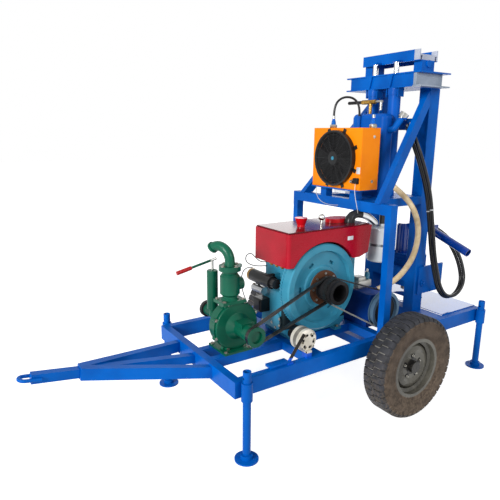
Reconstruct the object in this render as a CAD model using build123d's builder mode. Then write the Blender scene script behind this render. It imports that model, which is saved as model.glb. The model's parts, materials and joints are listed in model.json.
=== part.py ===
from build123d import *
import math
import os

# A small hydraulic water well drilling rig on a two-wheeled trailer, in millimetres.
# +X points forward to the drawbar, +Y to the left side, +Z up. The ground is z = 0,
# y = 0 is the trailer's middle, and x = 0 is half way between the towing eye and the rear feet.

# Gap between faces that turn or slide past each other, and the overlap of fused parts
seat_gap = 0.3
weld_sink = 2

# Trailer frame
chassis_length = 2300
chassis_width = 1000
rail_width = 50
rail_height = 100
rail_top = 480
drawbar_reach = 1021
leg_inset_front = 59
leg_inset_rear = 37
channel_width = 50
channel_height = 60
channel_gap = 110
power_line_y = 80
cross_width = 50
wide_cross_width = 110
wide_cross_back = 620

# Legs, each a tube that slides in a sleeve on the rail and stands on a round foot
leg_r = 24
leg_wall = 4
leg_top = 548
sleeve_r = 33
sleeve_length = 110
sleeve_clearance = 0.4
foot_r = 70
foot_thick = 10
collar_r = 36
collar_height = 26
pin_hole_r = 7
pin_hole_drop = 40

# Drawbar
bar_drop = 15
bar_height = 70
bar_width = 44
bar_spread = 225
nose_reach = 705
nose_spread = 18
nose_notch = 60
tongue_width = 50
tongue_height = 52
eye_bar = 17
eye_round = 6
eye_hole_r = tongue_width / 2
eye_slot = 26
eye_weld = 50
drawbar_rise = 7.7

# Wheels
wheel_share = 0.5357
tyre_r = 343
tyre_width = 172
wheel_track = 1360
rim_r = 190
rim_half = 62
rim_well_r = 164
rim_well_half = 24
rim_slope = 10
rim_lip = 10
rim_lip_width = 8
rim_wall = 6
lug_height = 15
lug_root = 26
lug_count = 22
lug_length = 46
lug_inner = -6
lug_skew = 22
disc_hump_r = 112
disc_hump = 43
disc_seat = 30
disc_thick = 9
disc_edge_y = 8
wheel_hole_pcd = 150
wheel_hole_count = 5
wheel_hole_r = 9
hub_r = 52
hub_in = 60
hub_out = 62
hub_cap = 8
hub_cap_r = 40
spindle_r = 25
spindle_clearance = 0.1
axle_size = 60
axle_beam_half = 606
axle_collar_r = 40

# Gantry over the engine
gantry_share = 0.509
post_width = 50
post_depth = 60
gantry_top = 1376
gantry_beam_height = 70
side_beam_height = 60
cooler_foot_y = 150
cooler_foot_width = 60
cooler_tray = 8
cooler_tray_front = 20
cooler_tray_inset = 10
tank_shelf = 10
tank_shelf_front = 30
barrel_notch = 3

# Mast
mast_share = 0.77
column_width = 92
column_depth = 105
column_outer = 258
cross_piece_depth = 50
low_cross_rise = 220
low_cross_height = 90
high_cross_bottom = 1850
high_cross_height = 84
head_beam_ahead = 230
head_beam_depth = 320
head_beam_half = 346
head_beam_bottom = 2136
head_beam_top = 2234
head_plate = 9
head_web_inset = 8
head_web_back = 40
head_web_end = 307
rod_hole_gap = 6
strap_foot = (-32, -6)
strap_head = (-34, 14)
strap_proud = 6
cheek_drop = 58
cheek_thick = 7
cheek_half = 30
crown_ahead = 150
crown_depth = 190
crown_half = 262
crown_bottom = 2313
crown_top = 2386
crown_plate = 9
crown_rest_gap = 6
crown_pad = 12
crown_pad_half = 24
sheave_block = 70
sheave_block_inset = 30
sheave_boss_r = 24
sheave_boss = 9
cylinder_ahead = 185
cylinder_spread = 97
barrel_r = 44
barrel_bore_r = 34
barrel_length = 800
barrel_cap = 20
gland_height = 45
gland_proud = 5
rod_spare = 40
lift_rod_r = 19
lift_rod_clearance = 0.3
lift_stroke = 620
brace_width = 66
brace_thick = 44
brace_foot_y = 380
brace_head_z = 2075
brace_over = 80

# Power head, at its lowest place
head_axis_behind = 240
head_bottom = 640
carriage_gap = 0.5
carriage_plate = 14
carriage_bottom = 612
carriage_height = 216
carriage_reach = 75
carriage_lap = 30
gearbox_back = 95
gearbox_half = 105
gearbox_height = 230
gearbox_round = 12
gearbox_cover = 14
gearbox_cover_inset = 9
head_motor_shift = 50
head_motor_y = -45
head_motor_height = 230
head_motor_r = 48
head_motor_flange = (62, 18)
head_motor_cap = (40, 12)
hose_port_behind = 385
port_block_depth = 50
port_block_ahead = 20
port_block_right = -75
port_block_middle = -5
port_block_left = 150
port_block_bottom = 1050
port_block_top = 1110
nipple_length = 45
nipple_wall = 2
spindle_shaft_r = 32
spindle_collar_r = 48
spindle_seat = 120
spindle_drop = 85
drill_socket_r = 21
drill_socket_depth = 60
swivel_x = -45
swivel_y = 40
swivel_z = 1120
swivel_reach = 500
swivel_fall = 165
swivel_pipe_r = 31
swivel_wall = 4
swivel_open = 60
swivel_body_r = 38
swivel_cap = 26

# Engine
crank_back = 800
crank_rise = 365
flywheel_r = 288
flywheel_thick = 85
flywheel_face = 300
flywheel_edge = 8
flywheel_rim = 46
flywheel_dish = 26
flywheel_hub_r = 104
flywheel_ring = 40
flywheel_ring_rise = 9
flywheel_windows = 6
flywheel_window = (44, 22)
flywheel_window_r = 172
gear_teeth = 90
gear_tooth = 7
gear_width = 18
drum_r = 78
drum_end = 455
drum_flange_r = 116
drum_flange = 14
drum_bore_r = 56
drum_bore_depth = 96
drum_bolts = 8
drum_bolt_r = 9
drum_bolt_height = 7
drum_bolt_pcd = 196
groove_depth = 5
groove_half = 4
groove_ys = (322, 366, 375, 384, 426, 436)
hopper_front = 500
hopper_rear = 1212
hopper_near = 306
hopper_far = -66
hopper_top = 1231
hopper_bottom = 1010
hopper_lid = 9
hopper_lid_inset = 12
hopper_round = 22
hopper_tail = (24, 26)
flywheel_gap = 14
crankcase_near = 198
crankcase_far = -60
crankcase_front = 560
crankcase_rear = 1110
crankcase_step = 26
crankcase_shoulder = 205
crankcase_sump = 46
crankcase_round = 16
foot_height = 18
foot_length = 60
foot_overhang = 30
foot_insets = (60, 60)
crank_boss_r = 70
cover_r = 58
cover_thick = 14
cover_y = 128
cover_drop = 235
head_rear = 1215
head_right = -36
head_left = 170
head_low = 750
head_high = 975
head_round = 14
rocker_cover_r = 60
rocker_cover = 30
starter_back = 500
starter_rise = 40
starter_right = -90
starter_left = 150
starter_r = 42
starter_nose_r = 32
starter_nose_gap = 6
starter_bracket = (96, 116)
starter_bracket_half = 45
solenoid_drop = 80
solenoid_r = 26
solenoid_half = 60
solenoid_lug = (10, 30)
filter_front = 480
filter_right = -50
filter_left = 40
filter_height = 90
filter_below = 145
filter_round = 12
muffler_back = 1170
muffler_y = 200
muffler_flange = (34, 10)
muffler_r = 24
muffler_bend = 30
muffler_rise = 46
muffler_reach = 70
air_cleaner_share = 0.257
air_cleaner_y = 225
air_cleaner_r = 96
air_cleaner_bottom = 930
air_cleaner_height = 250
air_cleaner_round = 16
air_cleaner_band = (4, 12)
air_cleaner_neck_r = 22

# Caps and gauges on top of the hopper
cap_back, cap_y = 720, 150
cap_neck = (26, 12)
cap_cone = (42, 46)
gauge_back, gauge_y = 860, 190
gauge_stem = (9, 44)
gauge_ball_r = 22
lid_back, lid_y = 1060, 120
lid_size = (90, 62)
lid_height = 26

# Alternator, on the left rail beside the pump belt
alternator_back = 550
alternator_inset = 37
alternator_rise = 105
alternator_r = 72
alternator_half = 50
alternator_end = 12
alternator_windows = 6
alternator_window_r = 10
alternator_window_ring = 44
alternator_window_depth = 14
alternator_pulley_r = 34
alternator_pulley = (85, 113)
alternator_shaft_r = 9
alternator_stand_half = 20
alternator_stand_lap = 20
tension_bar = (8, 20)
tension_head = (38, 56)
tension_foot = 150

# Mud pump
pump_back = 235
pump_height = 645
volute_r = 150
volute_y = 100
volute_half = 48
casing_round = 6
pump_cover_r = 104
pump_cover = 14
split_flange = 14
split_flange_proud = 7
split_flange_shift = 22
pump_lugs = 8
pump_lug_r = 13
pump_lug_half = 15
pump_neck = (116, 86)
pump_neck_rise = 60
pump_flange = (165, 122, 10)
housing_r = 50
housing_flare = (86, 36)
housing_plate = (90, 84, 58)
pump_foot = (110, 90, 105)
pump_foot_thick = 14
pump_web_top = 55
pump_web_foot = 88
pump_web_half = 12
pump_web_height = 65
pump_pulley_r = 52
pump_pulley_y = 345
valve_back = 210
valve_gap = 20
valve_height = 200
valve_r = 62
valve_neck_r = 46
valve_body = (38, 148)
valve_flange_r = 68.5
valve_flange = 15
valve_dome = (40, 84, 92)
valve_ear = (22, 84)
elbow_bend_r = 85
elbow_pipe_r = 31
elbow_root_r = 37.5
elbow_rise = 40
elbow_turn = 130
elbow_heading = -69.6
elbow_lip = (6, 14)
suction_r = 42
suction_bore_r = 34
suction_reach = 250
suction_flange = (56, 26)
suction_bore_depth = 90
primer_y = -95
primer_shift = 40
primer_base_r = 22
primer_rise = 48
primer_r = 36
primer_round = 6
primer_height = 264
primer_rod = (9, 66)
lever_back = 30
lever_front = 250
lever_rise = 8
lever_fall = 52
lever_r = 8
grip_r = 13
grip_length = 100

# Hydraulic pump drive behind the engine
hyd_pulley_behind = 475
hyd_pulley_height = 628
hyd_pulley_r = 122
hyd_pulley_y = 405
hyd_case_right = 90
hyd_case_half = 80
hyd_case_low = 90
hyd_case_high = 100
hyd_case_gap = 60
hyd_case_round = 14
hyd_stand_half = 70
hyd_stand_gap = 90
hyd_nose_r = 45

# Pulleys and belts
pulley_half = 22
pulley_run = 15
pulley_lip = 10
pulley_hub = 11
pulley_rim = 13
pulley_dish = 16
shaft_nose_gap = 34
belt_thick = 9
belt_width = 26
belt_clearance = 0.3

# Oil cooler and tank
cooler_ahead = 30
cooler_depth = 168
cooler_width = 482
cooler_bottom = 1448
cooler_height = 412
cooler_wall = 3
core_gap = 6
core_depth = 64
fan_r = 178
fan_ring = 12
shroud_depth = 34
fan_ears = 8
fan_ear = (36, 26, 6)
guard_bar = 3
guard_inner_r = 58
guard_hub_r = 46
guard_hub_depth = 26
guard_lap = 3
guard_rings = 7
guard_spokes = 8
fan_clearance = 6
fan_hub_r = 50
fan_blades = 7
fan_blade_thick = 3
fan_blade_width = 44
fan_blade_depth = 40
fan_blade_pitch = 55
cooler_port_behind = 110
cooler_port_left = 225
cooler_port_right = -160
cooler_port_height = 85
cooler_port_nut = (16, 22)
cooler_port_r = 10
tank_ahead = 345
tank_depth = 112
tank_width = 322
tank_bottom = 1376
tank_top = 1962
tank_side_round = 38
tank_top_round = 34
tank_port = (11, 76)
tank_port_ahead = 13.5
tank_port_back = 65
neck_r = 22
neck_height = 1850
neck_foot = 60
neck_wall = 6
neck_stub = 34
neck_back = 60
neck_out = 40
neck_rise = 110
neck_cup = (32, 36)
valve_pipe_behind = 56
valve_pipe_y = -30
valve_pipe_r = 12
valve_pipe_height = 83
valve_body_r = 16
valve_body_span = (-110, 20)
valve_outlet_r = 10
valve_outlet_y = 80
valve_outlet_fall = 60
valve_grip_r = 12
valve_grip_y = -250

# Rear deck round the drilling axis
deck_thick = 6
deck_gap = 8
deck_hole_r = 130

# Hoses. Head hose: points as (behind the mast's face, to the left, up)
head_hose_r = 13
head_hose_shift = (0, 29, 14)
head_hose_points = [
    (-25, 100, 1885),
    (-115, 165, 1870),
    (-158, 250, 1790),
    (-120, 300, 1640),
    (-15, 315, 1400),
    (45, 315, 1150),
    (92, 320, 920),
    (145, 326, 760),
    (188, 332, 645),
    (272, 340, 561),
    (395, 345, 560),
    (486, 338, 652),
    (492, 300, 790),
    (480, 235, 915),
    (445, 165, 1010),
    (400, 100, 1058),
]
# Suction hose, from the tank to the pump: (behind a straight line between them, to the left, up)
suction_hose_r = 20
suction_port_behind = 280
suction_end_behind = 93
suction_hose_points = [
    (0, 185, 1480),
    (42, 285, 1415),
    (110, 360, 1315),
    (192, 370, 1160),
    (200, 360, 980),
    (137, 340, 850),
    (65, 300, 760),
    (0, 253, 722),
]
# Cooler hose, from the cooler to the tank: (share of the way back, up)
cooler_hose_r = 8
cooler_hose_points = [
    (0, 1945),
    (0, 2022),
    (0.29, 2077),
    (0.71, 2077),
    (1, 2022),
    (1, 1945),
]
cooler_hose_end_y = -66

# Stations behind the front face: the mast, gantry and wheels share out the frame's length
mast_back = mast_share * chassis_length
gantry_back = gantry_share * chassis_length
cooler_front = gantry_back - cooler_ahead
tank_front = mast_back - tank_ahead
air_cleaner_outer_r = air_cleaner_r + air_cleaner_band[0]
air_cleaner_room = mast_back - hopper_rear - 2 * air_cleaner_outer_r
air_cleaner_back = hopper_rear + air_cleaner_share * air_cleaner_room + air_cleaner_outer_r

# The same stations as x, forward of the middle
reach_behind = chassis_length - leg_inset_rear + foot_r
x_front = (reach_behind - drawbar_reach) / 2
x_rear = x_front - chassis_length
rail_y = chassis_width / 2 - rail_width / 2
rail_bottom = rail_top - rail_height
rail_inner = chassis_width / 2 - rail_width
leg_y = chassis_width / 2 + sleeve_r - weld_sink
leg_stations = (x_front - leg_inset_front, x_rear + leg_inset_rear)
sleeve_bore_r = leg_r + sleeve_clearance
x_gantry = x_front - gantry_back
x_mast = x_front - mast_back
column_inner = column_outer - column_width
x_wheel = x_front - wheel_share * chassis_length
x_crank = x_front - crank_back
crank_height = rail_top + crank_rise
starter_height = crank_height + starter_rise
filter_top = starter_height - filter_below
filter_bottom = filter_top - filter_height
x_pump = x_front - pump_back
x_hyd = x_crank - hyd_pulley_behind
x_lift = x_mast + cylinder_ahead
x_head = x_mast - head_axis_behind
x_cooler = x_front - cooler_front
x_tank = x_front - tank_front
x_wide_cross = x_front - wide_cross_back
wheel_y = wheel_track / 2
hose_port_x = x_mast - hose_port_behind
x_alternator = x_front - alternator_back
alternator_y = rail_inner - alternator_inset
alternator_z = rail_top + alternator_rise

os.makedirs("parts", exist_ok=True)


def slab(x, y, z, mode=Mode.ADD):
    """A box between two stations on each axis, in the sub-part being built."""
    centre = ((x[0] + x[1]) / 2, (y[0] + y[1]) / 2, (z[0] + z[1]) / 2)
    with Locations(centre):
        Box(abs(x[1] - x[0]), abs(y[1] - y[0]), abs(z[1] - z[0]), mode=mode)


def bar(start, end, width, height, side=(0, 1, 0)):
    """A rectangular bar between two points, its width measured along side."""
    along = Vector(*end) - Vector(*start)
    with Locations(Plane(origin=start, x_dir=side, z_dir=along)):
        Box(width, height, along.length, align=(Align.CENTER, Align.CENTER, Align.MIN))


def round_bar(start, end, radius, mode=Mode.ADD):
    """A round bar between two points."""
    along = Vector(*end) - Vector(*start)
    with Locations(Plane(origin=start, z_dir=along)):
        Cylinder(radius, along.length, align=(Align.CENTER, Align.CENTER, Align.MIN), mode=mode)


def post(x, y, bottom, radius, height, mode=Mode.ADD):
    """An upright round piece that stands on a height."""
    with Locations((x, y, bottom)):
        Cylinder(radius, height, align=(Align.CENTER, Align.CENTER, Align.MIN), mode=mode)


def belt_pulley(x, y, z, radius):
    """A flat pulley with two lips, a dished outer face and a hub on its inner side."""
    round_bar((x, y - pulley_half, z), (x, y + pulley_half, z), radius + pulley_lip)
    round_bar((x, y - pulley_run, z), (x, y + pulley_run, z), radius + 2 * pulley_lip, mode=Mode.SUBTRACT)
    round_bar((x, y - pulley_half, z), (x, y + pulley_half, z), radius)
    round_bar((x, y - pulley_half - pulley_hub, z), (x, y, z), radius / 2)
    face_y = y + pulley_half
    round_bar((x, face_y - pulley_dish, z), (x, face_y, z), radius - pulley_rim, mode=Mode.SUBTRACT)


def mast_corners(points, shift=Vector(0, 0, 0)):
    """The corners of a hose's route that is measured from the mast's face."""
    return [Vector(x_mast - back, left, up) + shift for back, left, up in points]


def bend_radii(points):
    """The largest even bend at each corner of a hose's route."""
    radii = []
    for before, corner, after in zip(points, points[1:], points[2:]):
        first, second = corner - before, after - corner
        half_turn = math.radians(first.get_angle(second)) / 2
        radii.append(0.45 * min(first.length, second.length) / math.tan(half_turn))
    return radii


def save(piece, label):
    """Names a finished sub-part and writes it."""
    piece.part.label = label
    export_step(piece.part, f"parts/{label}.step")


# Routes of the hoses
head_hose_shifts = (Vector(0, 0, 0), Vector(*head_hose_shift))
head_hose_routes = [mast_corners(head_hose_points, shift) for shift in head_hose_shifts]
suction_start_x = x_mast + suction_port_behind
suction_end_x = x_hyd - suction_end_behind
suction_steps = len(suction_hose_points) - 1
suction_route = [
    Vector(suction_start_x + (suction_end_x - suction_start_x) * step / suction_steps - behind, left, up)
    for step, (behind, left, up) in enumerate(suction_hose_points)
]
cooler_port_x = x_cooler - cooler_port_behind
tank_port_x = x_tank + tank_port_ahead
cooler_route = [
    Vector(
        cooler_port_x + (tank_port_x - cooler_port_x) * share,
        cooler_port_right + (cooler_hose_end_y - cooler_port_right) * share,
        up,
    )
    for share, up in cooler_hose_points
]

# Trailer frame: two rails, five cross members, two channels that carry the pump and engine
x_post_cross = x_gantry - post_depth / 2
x_mast_cross = x_mast - column_depth / 2
channel_shift = (channel_gap + channel_width) / 2
channel_ys = (power_line_y - channel_shift, power_line_y + channel_shift)
cross_table = [
    # centre x, width along x, height
    (x_front - cross_width / 2, cross_width, rail_height),
    (x_wide_cross, wide_cross_width, channel_height),
    (x_post_cross, post_depth, channel_height),
    (x_mast_cross, column_depth, rail_height),
    (x_rear + cross_width / 2, cross_width, rail_height),
]
with BuildPart() as chassis_frame:
    for side in (-1, 1):
        slab((x_rear, x_front), (side * rail_inner, side * chassis_width / 2), (rail_bottom, rail_top))
    for centre, width, height in cross_table:
        span = (centre - width / 2, centre + width / 2)
        slab(span, (-rail_inner, rail_inner), (rail_top - height, rail_top))
    for centre in channel_ys:
        slab(
            (x_post_cross, x_front - cross_width),
            (centre - channel_width / 2, centre + channel_width / 2),
            (rail_top - channel_height, rail_top),
        )
    for station in leg_stations:
        for side in (-1, 1):
            sleeve_bottom = rail_top - sleeve_length
            post(station, side * leg_y, sleeve_bottom, sleeve_r, sleeve_length)
            post(station, side * leg_y, sleeve_bottom, sleeve_bore_r, sleeve_length, Mode.SUBTRACT)
save(chassis_frame, "chassis_frame")

# Legs: tube, collar and round foot
for end_name, station in zip(("front", "rear"), leg_stations):
    for side_name, side in (("left", 1), ("right", -1)):
        with BuildPart() as leg:
            post(station, side * leg_y, 0, foot_r, foot_thick)
            post(station, side * leg_y, foot_thick, collar_r, collar_height)
            post(station, side * leg_y, foot_thick, leg_r, leg_top - foot_thick)
            tube_bottom = foot_thick + collar_height
            post(station, side * leg_y, tube_bottom, leg_r - leg_wall, leg_top - tube_bottom, Mode.SUBTRACT)
            with BuildSketch(Plane.YZ.offset(station)):
                with Locations((side * leg_y, leg_top - pin_hole_drop)):
                    Circle(pin_hole_r)
            extrude(amount=2 * leg_r, both=True, mode=Mode.SUBTRACT)
        save(leg, f"leg_{end_name}_{side_name}")

# Drawbar: two converging bars, a straight middle bar and the tongue, all rising towards the eye
rise = math.radians(drawbar_rise)
bar_z = rail_top - bar_drop - bar_height / 2
drawbar_plane = Plane(
    origin=(x_front, 0, bar_z),
    x_dir=(math.cos(rise), 0, math.sin(rise)),
    z_dir=(-math.sin(rise), 0, math.cos(rise)),
)
along_rise = 1 / math.cos(rise)
nose_x = nose_reach * along_rise
eye_x = drawbar_reach * along_rise
eye_outer_r = eye_hole_r + eye_bar
eye_centre_x = eye_x - eye_outer_r
eye_back_x = eye_centre_x - eye_slot
behind_front = bar_width / 2
with BuildPart() as drawbar:
    with BuildSketch(drawbar_plane.offset(-bar_height / 2)):
        for side in (-1, 1):
            with BuildLine():
                Polyline(
                    (-behind_front, side * (bar_spread - bar_width / 2)),
                    (-behind_front, side * (bar_spread + bar_width / 2)),
                    (nose_x, side * (nose_spread + bar_width / 2)),
                    (nose_x, 0),
                    (nose_x - nose_notch, 0),
                    close=True,
                )
            make_face()
    extrude(amount=bar_height)
    with BuildSketch(drawbar_plane.offset(-tongue_height / 2)):
        with Locations(((eye_back_x - behind_front) / 2, 0)):
            Rectangle(eye_back_x + behind_front, tongue_width)
    extrude(amount=tongue_height)
    split(bisect_by=Plane.YZ.offset(x_front), keep=Keep.TOP)
save(drawbar, "drawbar")

# Towing eye: a bar bent to a U around the tongue's end
arm_length = eye_slot + eye_weld
with BuildPart() as tow_eye:
    with BuildSketch(drawbar_plane.offset(-eye_bar / 2)):
        with Locations((eye_centre_x, 0)):
            Circle(eye_outer_r)
        with Locations((eye_centre_x - arm_length / 2, 0)):
            Rectangle(arm_length, 2 * eye_outer_r)
        with Locations((eye_centre_x - arm_length, 0)):
            SlotCenterToCenter(2 * arm_length, 2 * eye_hole_r, mode=Mode.SUBTRACT)
    extrude(amount=eye_bar)
    fillet(tow_eye.edges().filter_by(GeomType.CIRCLE).group_by(SortBy.RADIUS)[-1], eye_round)
save(tow_eye, "tow_eye")

# Axle: square beam under the rails with a round spindle at each end
axle_z = tyre_r
spindle_end = wheel_y + hub_out - hub_cap - seat_gap
collar_end = wheel_y - hub_in - seat_gap
with BuildPart() as axle:
    slab(
        (x_wheel - axle_size / 2, x_wheel + axle_size / 2),
        (-axle_beam_half, axle_beam_half),
        (axle_z - axle_size / 2, axle_z + axle_size / 2),
    )
    for side in (-1, 1):
        slab(
            (x_wheel - axle_size, x_wheel + axle_size),
            (side * rail_inner, side * chassis_width / 2),
            (axle_z + axle_size / 2, rail_bottom),
        )
        round_bar((x_wheel, side * axle_beam_half, axle_z), (x_wheel, side * spindle_end, axle_z), spindle_r)
        collar_start = chassis_width / 2 + weld_sink
        round_bar((x_wheel, side * collar_start, axle_z), (x_wheel, side * collar_end, axle_z), axle_collar_r)
save(axle, "axle")

# Wheels: a lugged tyre, and a pressed rim with its disc and hub, turned about the axle line
tyre_half = tyre_width / 2
carcass_r = tyre_r - lug_height
lug_pitch = 360 / lug_count
lip_r = rim_r + rim_lip
wall_profile = [
    # in from the tread, in from the side
    (0, 26),
    (24, 8),
    (52, 0),
    (84, 4),
]
for side_name, side in (("left", 1), ("right", -1)):
    wheel_plane = Plane(origin=(x_wheel, side * wheel_y, axle_z), x_dir=(1, 0, 0), z_dir=(0, 0, side))
    wheel_axis = Axis((x_wheel, 0, axle_z), (0, 1, 0))
    with BuildPart() as tyre:
        with BuildSketch(wheel_plane):
            with BuildLine():
                Polyline(
                    (carcass_r, 0),
                    *[(carcass_r - drop, tyre_half - inset) for drop, inset in wall_profile],
                    (lip_r + seat_gap, rim_half + rim_lip_width),
                    (lip_r + seat_gap, rim_half + rim_lip_width / 4),
                    (rim_r, rim_half - seat_gap),
                    (rim_r + seat_gap, 0),
                    close=True,
                )
            make_face()
            mirror(about=Plane.XZ)
        revolve(axis=wheel_axis)
        for row in (-1, 1):
            for count in range(lug_count):
                turn = (count + row / 4) * lug_pitch
                spoke = Location((x_wheel, side * wheel_y, axle_z), (0, turn, 0))
                lug_y = row * (tyre_half + lug_inner) / 2
                lug = Location((0, lug_y, carcass_r + (lug_height - lug_root) / 2), (0, 0, row * lug_skew))
                with Locations(spoke * lug):
                    Box(lug_length, tyre_half - lug_inner, lug_root + lug_height)
        with Locations(Plane(origin=(x_wheel, side * wheel_y, axle_z), z_dir=(0, 1, 0))):
            Cylinder(tyre_r, tyre_width, mode=Mode.INTERSECT)
    save(tyre, f"tyre_{side_name}")
    with BuildPart() as rim:
        with BuildSketch(wheel_plane):
            with BuildLine():
                Polyline(
                    (rim_r - 2 * rim_wall, rim_half + rim_lip_width),
                    (lip_r, rim_half + rim_lip_width),
                    (lip_r, rim_half + rim_lip_width / 2),
                    (rim_r - seat_gap, rim_half),
                    (rim_r - seat_gap, rim_well_half + rim_slope),
                    (rim_well_r, rim_well_half),
                    (rim_well_r, -rim_well_half),
                    (rim_r - seat_gap, -rim_well_half - rim_slope),
                    (rim_r - seat_gap, -rim_half),
                    (lip_r, -rim_half - rim_lip_width / 2),
                    (lip_r, -rim_half - rim_lip_width),
                    (rim_r - 2 * rim_wall, -rim_half - rim_lip_width),
                    (rim_r - 2 * rim_wall, -rim_well_half - rim_slope),
                    (rim_well_r - rim_wall, -rim_well_half),
                    (rim_well_r - rim_wall, rim_well_half),
                    (rim_r - 2 * rim_wall, rim_well_half + rim_slope),
                    close=True,
                )
            make_face()
        revolve(axis=wheel_axis)
        with BuildSketch(wheel_plane):
            with BuildLine():
                Polyline(
                    (spindle_r + spindle_clearance, -hub_in),
                    (hub_r, -hub_in),
                    (hub_r, disc_seat - disc_thick),
                    (disc_hump_r - 3 * disc_thick, disc_seat - disc_thick),
                    (disc_hump_r, disc_hump - disc_thick),
                    (disc_hump_r + 2 * disc_thick, disc_seat),
                    (rim_well_r - 2 * disc_thick, 0),
                    (rim_well_r - rim_wall, 0),
                    (rim_well_r - rim_wall, disc_edge_y),
                    (disc_hump_r + 3 * disc_thick, disc_hump - disc_thick),
                    (disc_hump_r, disc_hump),
                    (disc_hump_r - 3 * disc_thick, disc_seat),
                    (hub_cap_r, disc_seat),
                    (hub_cap_r, hub_out),
                    (0, hub_out),
                    (0, hub_out - hub_cap),
                    (spindle_r + spindle_clearance, hub_out - hub_cap),
                    close=True,
                )
            make_face()
        revolve(axis=wheel_axis)
        with Locations(Plane(origin=(x_wheel, side * wheel_y, axle_z), z_dir=(0, 1, 0))):
            with PolarLocations(wheel_hole_pcd / 2, wheel_hole_count):
                Cylinder(wheel_hole_r, tyre_width, mode=Mode.SUBTRACT)
    save(rim, f"rim_{side_name}")

# Gantry: two posts, the cross beam, two side beams back to the mast and the cooler's brackets
with BuildPart() as gantry_frame:
    for side in (-1, 1):
        slab(
            (x_gantry - post_depth, x_gantry),
            (side * (chassis_width / 2 - post_width), side * chassis_width / 2),
            (rail_top, gantry_top),
        )
        slab(
            (x_mast, x_gantry - post_depth),
            (side * column_inner, side * column_outer),
            (gantry_top - side_beam_height, gantry_top),
        )
        slab(
            (x_gantry - post_depth, x_gantry),
            (side * cooler_foot_y - cooler_foot_width / 2, side * cooler_foot_y + cooler_foot_width / 2),
            (gantry_top, cooler_bottom - cooler_tray),
        )
    slab(
        (x_gantry - post_depth, x_gantry),
        (-chassis_width / 2 + post_width, chassis_width / 2 - post_width),
        (gantry_top - gantry_beam_height, gantry_top),
    )
    slab(
        (x_cooler - cooler_depth, x_cooler + cooler_tray_front),
        (-cooler_width / 2 + cooler_tray_inset, cooler_width / 2 - cooler_tray_inset),
        (cooler_bottom - cooler_tray, cooler_bottom),
    )
    slab(
        (x_mast, x_tank + tank_shelf_front),
        (-column_inner, column_inner),
        (gantry_top - tank_shelf, gantry_top),
    )
    for side in (-1, 1):
        post(x_lift, side * cylinder_spread, rail_top, barrel_r + barrel_notch, gantry_top, Mode.SUBTRACT)
save(gantry_frame, "gantry_frame")

# Mast: two columns joined by cross pieces
cross_piece_table = [
    # bottom z, height
    (rail_top + low_cross_rise, low_cross_height),
    (high_cross_bottom, high_cross_height),
]
with BuildPart() as mast_columns:
    for side in (-1, 1):
        slab(
            (x_mast - column_depth, x_mast),
            (side * column_inner, side * column_outer),
            (rail_top, head_beam_bottom),
        )
    for bottom, height in cross_piece_table:
        slab((x_mast - cross_piece_depth, x_mast), (-column_inner, column_inner), (bottom, bottom + height))
    for start, after, *rest in head_hose_routes:
        round_bar(start - (after - start).normalized() * nipple_length, start, head_hose_r - nipple_wall)
save(mast_columns, "mast_columns")

# Head beam of the mast: a box between two wider plates, with slanted straps on its front
# and a pair of cheeks beside each lift cylinder
x_head_beam = x_mast + head_beam_ahead
web_front = x_head_beam - head_web_inset
web_rear = x_head_beam - head_beam_depth + head_web_back
web_bottom = head_beam_bottom + head_plate
web_top = head_beam_top - head_plate
with BuildPart() as mast_head_beam:
    for bottom in (head_beam_bottom, web_top):
        slab(
            (x_head_beam - head_beam_depth, x_head_beam),
            (-head_beam_half, head_beam_half),
            (bottom, bottom + head_plate),
        )
    slab((web_rear, web_front), (-head_web_end, head_web_end), (web_bottom, web_top))
    slab(
        (web_rear + head_plate, web_front - head_plate),
        (-head_web_end + head_plate, head_web_end - head_plate),
        (web_bottom, web_top),
        mode=Mode.SUBTRACT,
    )
    for side in (-1, 1):
        hole_r = lift_rod_r + rod_hole_gap
        post(x_lift, side * cylinder_spread, gantry_top, hole_r, head_beam_top, Mode.SUBTRACT)
    with BuildSketch(Plane.YZ.offset(web_front)):
        for side in (-1, 1):
            with BuildLine():
                Polyline(
                    (side * cylinder_spread + strap_foot[0], head_beam_bottom),
                    (side * cylinder_spread + strap_foot[1], head_beam_bottom),
                    (side * cylinder_spread + strap_head[1], web_top),
                    (side * cylinder_spread + strap_head[0], web_top),
                    close=True,
                )
            make_face()
    extrude(amount=head_web_inset + strap_proud)
    cheek_y = barrel_r + gland_proud + cheek_thick / 2
    for barrel_y in (-cylinder_spread, cylinder_spread):
        with Locations(*[(x_lift, barrel_y + edge * cheek_y, head_beam_bottom) for edge in (-1, 1)]):
            Box(2 * cheek_half, cheek_thick, cheek_drop, align=(Align.CENTER, Align.CENTER, Align.MAX))
save(mast_head_beam, "mast_head_beam")

# Diagonal braces from the gantry beam up to the columns
brace_foot = Vector(x_gantry - post_depth / 2, brace_foot_y, gantry_top)
brace_head = Vector(x_mast, column_outer - brace_thick / 2, brace_head_z)
with BuildPart() as mast_braces:
    for side in (-1, 1):
        start = Vector(brace_foot.X, side * brace_foot.Y, brace_foot.Z)
        end = Vector(brace_head.X, side * brace_head.Y, brace_head.Z)
        along = (end - start).normalized()
        bar(start - along * brace_over, end + along * brace_over, brace_thick, brace_width)
    split(bisect_by=Plane.XY.offset(gantry_top), keep=Keep.TOP)
    split(bisect_by=Plane.YZ.offset(x_mast), keep=Keep.TOP)
save(mast_braces, "mast_braces")

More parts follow.
